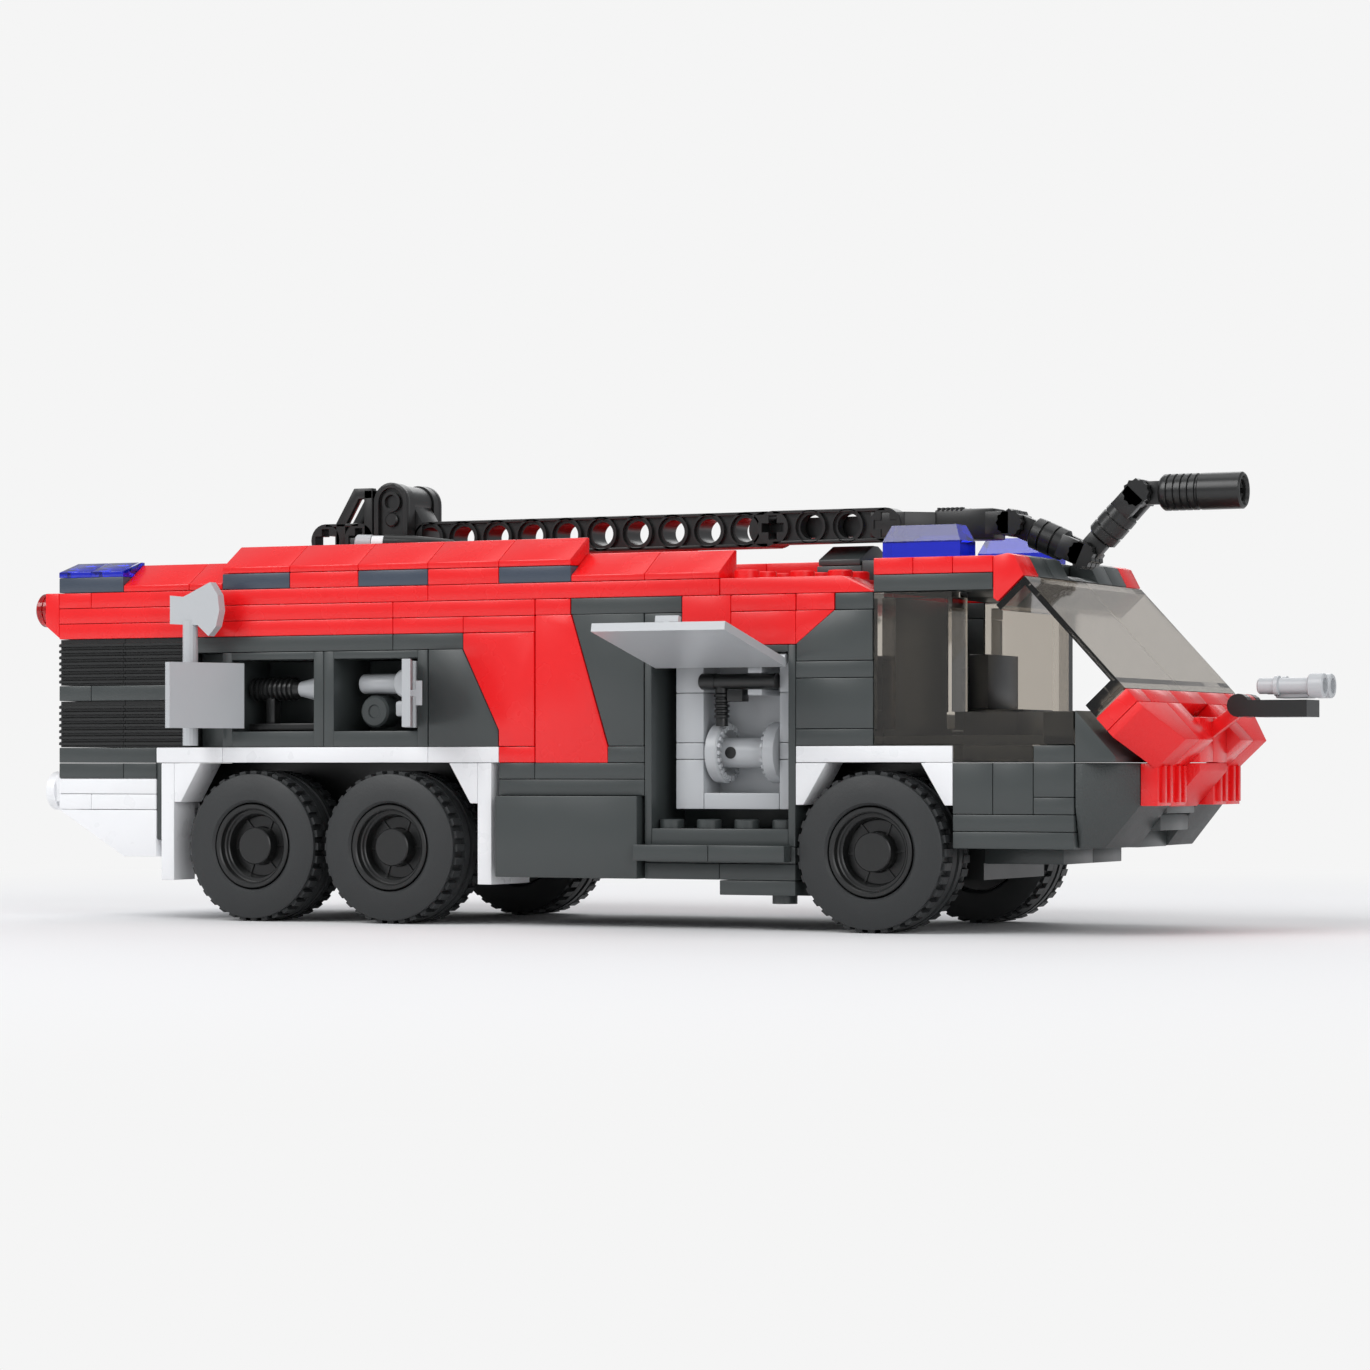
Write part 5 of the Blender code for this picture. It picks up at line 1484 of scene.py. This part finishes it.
    def fork(self, piece: Moulding, spot: Point, way: Point) -> None:
        """The two outer fingers at a hinge.

        Args:
            piece: the piece it goes into.
            spot: the hinge's (x, z) in mm.
            way: (x, z) direction towards the bar.
        """
        for side in SIDES:
            span = sorted((side * 1.35, side * 3.15))
            self.toothed(piece, spot, span)
            self.strap(piece, spot, way, span)

    def finger(self, piece: Moulding, spot: Point, way: Point) -> None:
        """The middle finger at a hinge."""
        self.toothed(piece, spot, (-0.98, 0.98))
        self.strap(piece, spot, way, (-0.98, 0.98))

    def cannon(self) -> None:
        """Two click-hinge links and the level water cannon."""
        names = ("cannon_lower", "cannon_upper")
        for name, start, end in zip(names, self.hinges, self.hinges[1:]):
            black = Moulding(f"{name}_click_link", Plastic.BLACK, name)
            length = math.dist(start, end)
            way = ((end[0] - start[0]) / length, (end[1] - start[1]) / length)
            lean = Matrix.Rotation(-math.atan2(way[1], way[0]), 4, "Y")
            turn = Matrix.Translation(place(start[0], 0, start[1]))
            turn = turn @ lean @ Matrix.Translation(-place(0, 0, 0))
            near, far = self.clear, length - self.clear
            body = [
                (near, 0.3), (near, 2.5), (near + 0.5, 3.1), (near + 2.2, 3.15), (near + 2.2, 2.7),
                (near + 2.6, 2.7)
            ]
            body += [
                (near + 2.6, 3.15), (far - 2.6, 3.15), (far - 2.6, 2.7), (far - 2.2, 2.7),
                (far - 2.2, 3.15)
            ]
            body += [(far - 0.5, 3.1), (far, 2.5), (far, 0.3)]
            black.add(turned("x", (0, 0, 0), body, 12), turn)
            self.finger(black, start, way)
            self.fork(black, end, (-way[0], -way[1]))
            black.finish(f"{name}_link")
        x, z = self.hinges[-1]
        black = Moulding("ribbed_water_cannon", Plastic.BLACK, "cannon")
        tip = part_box("cannon_nozzle")[1].x * 1000 - REAR_FACE
        tube = [(x + self.clear, 0.3), (x + self.clear, 2.9), (x + 4.7, 3.3)]
        for k in range(5):
            tube += [
                (x + 5.0 + 1.4 * k, 3.5), (x + 5.9 + 1.4 * k, 3.5), (x + 6.0 + 1.4 * k, 3.15),
                (x + 6.3 + 1.4 * k, 3.15)
            ]
        tube += [
            (x + 12.2, 3.5), (tip - 0.3, 3.5), (tip, 3.2), (tip, 2.8), (tip - 0.5, 2.6), (tip - 0.5, 2.1),
            (tip - 4, 2.1), (tip - 4, 0.3)
        ]
        black.lathe("x", (0, 0, z), tube, 36)
        for corner in four_ways([(0.5, 0.5), (1.9, 0.5), (1.35, 1.35), (0.5, 1.9)]):
            black.sharp_block("x", [(a, z + b) for a, b in corner], (tip - 4, tip - 0.9))
        self.finger(black, (x, z), (1, 0))
        black.finish("cannon_nozzle")

    def rest(self) -> None:
        """The plate and the slope, falling to the right, that the boom lies on."""
        dark = Moulding("boom_rest_slope", Plastic.DARK)
        dark.bricks(
            [(20.2, 21.4, -1, 0, 21, 22), (20.2, 21.4, 0, 1, 21, 22), (21.4, 22.4, -1, 1, 21, 22.3)]
        )
        slope = [(-7.95, 70.45), (-7.95, 71.6), (-1.2, 74.5), (1.2, 74.5), (7.95, 71.6), (7.95, 70.45)]
        dark.block("x", slope, (162.0, 170.8))
        dark.finish("boom_rest")


@dataclass
class Underside:
    """The black core and spine, with studs under the tray."""

    def build(self) -> None:
        """Dresses the core and adds the studs and pin that hang under it."""
        dress_cad("chassis", Plastic.BLACK)
        dark = Moulding("tray_fittings", Plastic.DARK)
        for side in SIDES:
            dark.brick(19, 21, *mirrored(side, 3, 4), 2.1, 3)
            dark.lathe(
                "z", (20.5 * STUD, side * 3.5 * STUD, 2.1 * PLATE),
                [(0, 0.3), (0, 2.4), (-1.6, 2.4), (-1.6, 0.3)], 20
            )
        dark.finish()


@dataclass
class Studio:
    """A plain pale floor, soft lamps and the camera."""

    background: str = "#F5F5F5"
    target: tuple[float, float, float] = (129.09, 0.0, 31.32)  # mm, a point on the line of sight
    distance: float = 803.4  # mm
    azimuth: float = 26.06  # degrees
    lens: float = 105.2  # mm
    rise: float = 0.0593  # of the frame's width

    def build(self) -> None:
        """Sets all of it up."""
        self.world()
        self.floor()
        self.lamps()
        self.camera()
        bpy.context.scene.view_settings.view_transform = "Standard"

    def world(self) -> None:
        """A soft grey light, which shows as the pale background to the eye, to gloss and through glass."""
        world = bpy.data.worlds.new("studio")
        bpy.context.scene.world = world
        world.use_nodes = True
        tree = world.node_tree
        tree.nodes.clear()
        ray = tree.nodes.new("ShaderNodeLightPath")
        seen = tree.nodes.new("ShaderNodeMath")
        seen.operation = "MAXIMUM"
        tree.links.new(ray.outputs["Is Camera Ray"], seen.inputs[0])
        tree.links.new(ray.outputs["Is Transmission Ray"], seen.inputs[1])
        pale = tree.nodes.new("ShaderNodeBackground")
        pale.inputs["Color"].default_value = linear(self.background)
        pale.inputs["Strength"].default_value = 1.0
        light = tree.nodes.new("ShaderNodeBackground")
        light.inputs["Color"].default_value = linear("#F2F4F7")
        light.inputs["Strength"].default_value = 0.45
        mixed = tree.nodes.new("ShaderNodeMixShader")
        tree.links.new(seen.outputs[0], mixed.inputs[0])
        tree.links.new(light.outputs[0], mixed.inputs[1])
        tree.links.new(pale.outputs[0], mixed.inputs[2])
        out = tree.nodes.new("ShaderNodeOutputWorld")
        tree.links.new(mixed.outputs[0], out.inputs[0])

    def floor(self) -> None:
        """A wide pale floor that takes the truck's shadow and fades into the background further off."""
        mesh = bpy.data.meshes.new("floor")
        size = 60.0
        mesh.from_pydata(
            [(-size, -size, 0), (size, -size, 0), (size, size, 0), (-size, size, 0)], [], [(0, 1, 2, 3)]
        )
        floor = bpy.data.objects.new("floor", mesh)
        bpy.context.scene.collection.objects.link(floor)
        paper = bpy.data.materials.new("matt_paper_sweep")
        paper.use_nodes = True
        shader = paper.node_tree.nodes["Principled BSDF"]
        shader.inputs["Base Color"].default_value = linear("#EFEFF0")
        shader.inputs["Roughness"].default_value = 0.9
        shader.inputs["Specular IOR Level"].default_value = 0.1
        where = add_node(paper, "ShaderNodeTexCoord").outputs["Object"]
        far = add_node(
            paper, "ShaderNodeVectorMath", {"operation": "LENGTH"}, {0: where}
        ).outputs["Value"]
        fade = add_node(
            paper, "ShaderNodeMapRange", {"interpolation_type": "SMOOTHSTEP"}, {
                "Value": far, "From Min": 0.16, "From Max": 0.45
            }
        ).outputs[0]
        glow = add_node(
            paper, "ShaderNodeEmission", inputs={"Color": linear(self.background), "Strength": 1.0}
        )
        ray = add_node(paper, "ShaderNodeLightPath").outputs["Is Camera Ray"]
        share = add_node(paper, "ShaderNodeMath", {"operation": "MULTIPLY"}, {0: fade, 1: ray}).outputs[0]
        mixed = add_node(
            paper, "ShaderNodeMixShader", inputs={0: share, 1: shader.outputs[0], 2: glow.outputs[0]}
        )
        output = paper.node_tree.nodes["Material Output"]
        paper.node_tree.links.new(mixed.outputs[0], output.inputs["Surface"])
        mesh.materials.append(paper)

    def lamps(self) -> None:
        """A large key over the rear right corner, and softer lamps in front, above and behind."""
        lamps = (
            # name, place in metres, watts, width in metres
            ("key", (-0.7, -1.1, 1.1), 14.0, 1.0),
            ("fill", (1.3, -0.9, 0.7), 7.2, 1.1),
            ("top", (0.1, 0.2, 1.4), 4.8, 1.2),
            ("back", (-0.4, 1.2, 0.8), 4.0, 0.9),
        )
        for name, spot, power, width in lamps:
            data = bpy.data.lights.new(name, "AREA")
            data.energy = power
            data.size = width
            lamp = bpy.data.objects.new(name, data)
            lamp.location = spot
            lamp.rotation_euler = (
                Vector((0, 0, 0.04)) - Vector(spot)
            ).to_track_quat("-Z", "Y").to_euler()
            bpy.context.scene.collection.objects.link(lamp)

    def camera(self) -> None:
        """A long lens, level with the lower body, on the right front quarter."""
        data = bpy.data.cameras.new("camera")
        data.lens = self.lens
        data.sensor_width = 36.0
        data.shift_y = self.rise
        data.clip_start = 0.01
        camera = bpy.data.objects.new("camera", data)
        turn = math.radians(self.azimuth)
        back = Vector((math.sin(turn), -math.cos(turn), 0))
        camera.location = place(*self.target) + back * self.distance / 1000
        camera.rotation_euler = (math.radians(90), 0, turn)
        bpy.context.scene.collection.objects.link(camera)
        bpy.context.scene.camera = camera


def main() -> None:
    """Builds the truck and the studio, and reports the pieces."""
    logging.basicConfig(level=logging.INFO, format="%(name)s: %(message)s")
    parts = (
        Studio(), Underside(), Wheels(), RearEnd(), Mudguards(), UpperBody(),
        Cupboards(), Middle(), Cab(), Nose(), RoofGear(),
    )
    for part in parts:
        before = len(bpy.data.objects)
        part.build()
        log.info("%s: %d new objects", type(part).__name__, len(bpy.data.objects) - before)


if __name__ == "__main__":
    main()
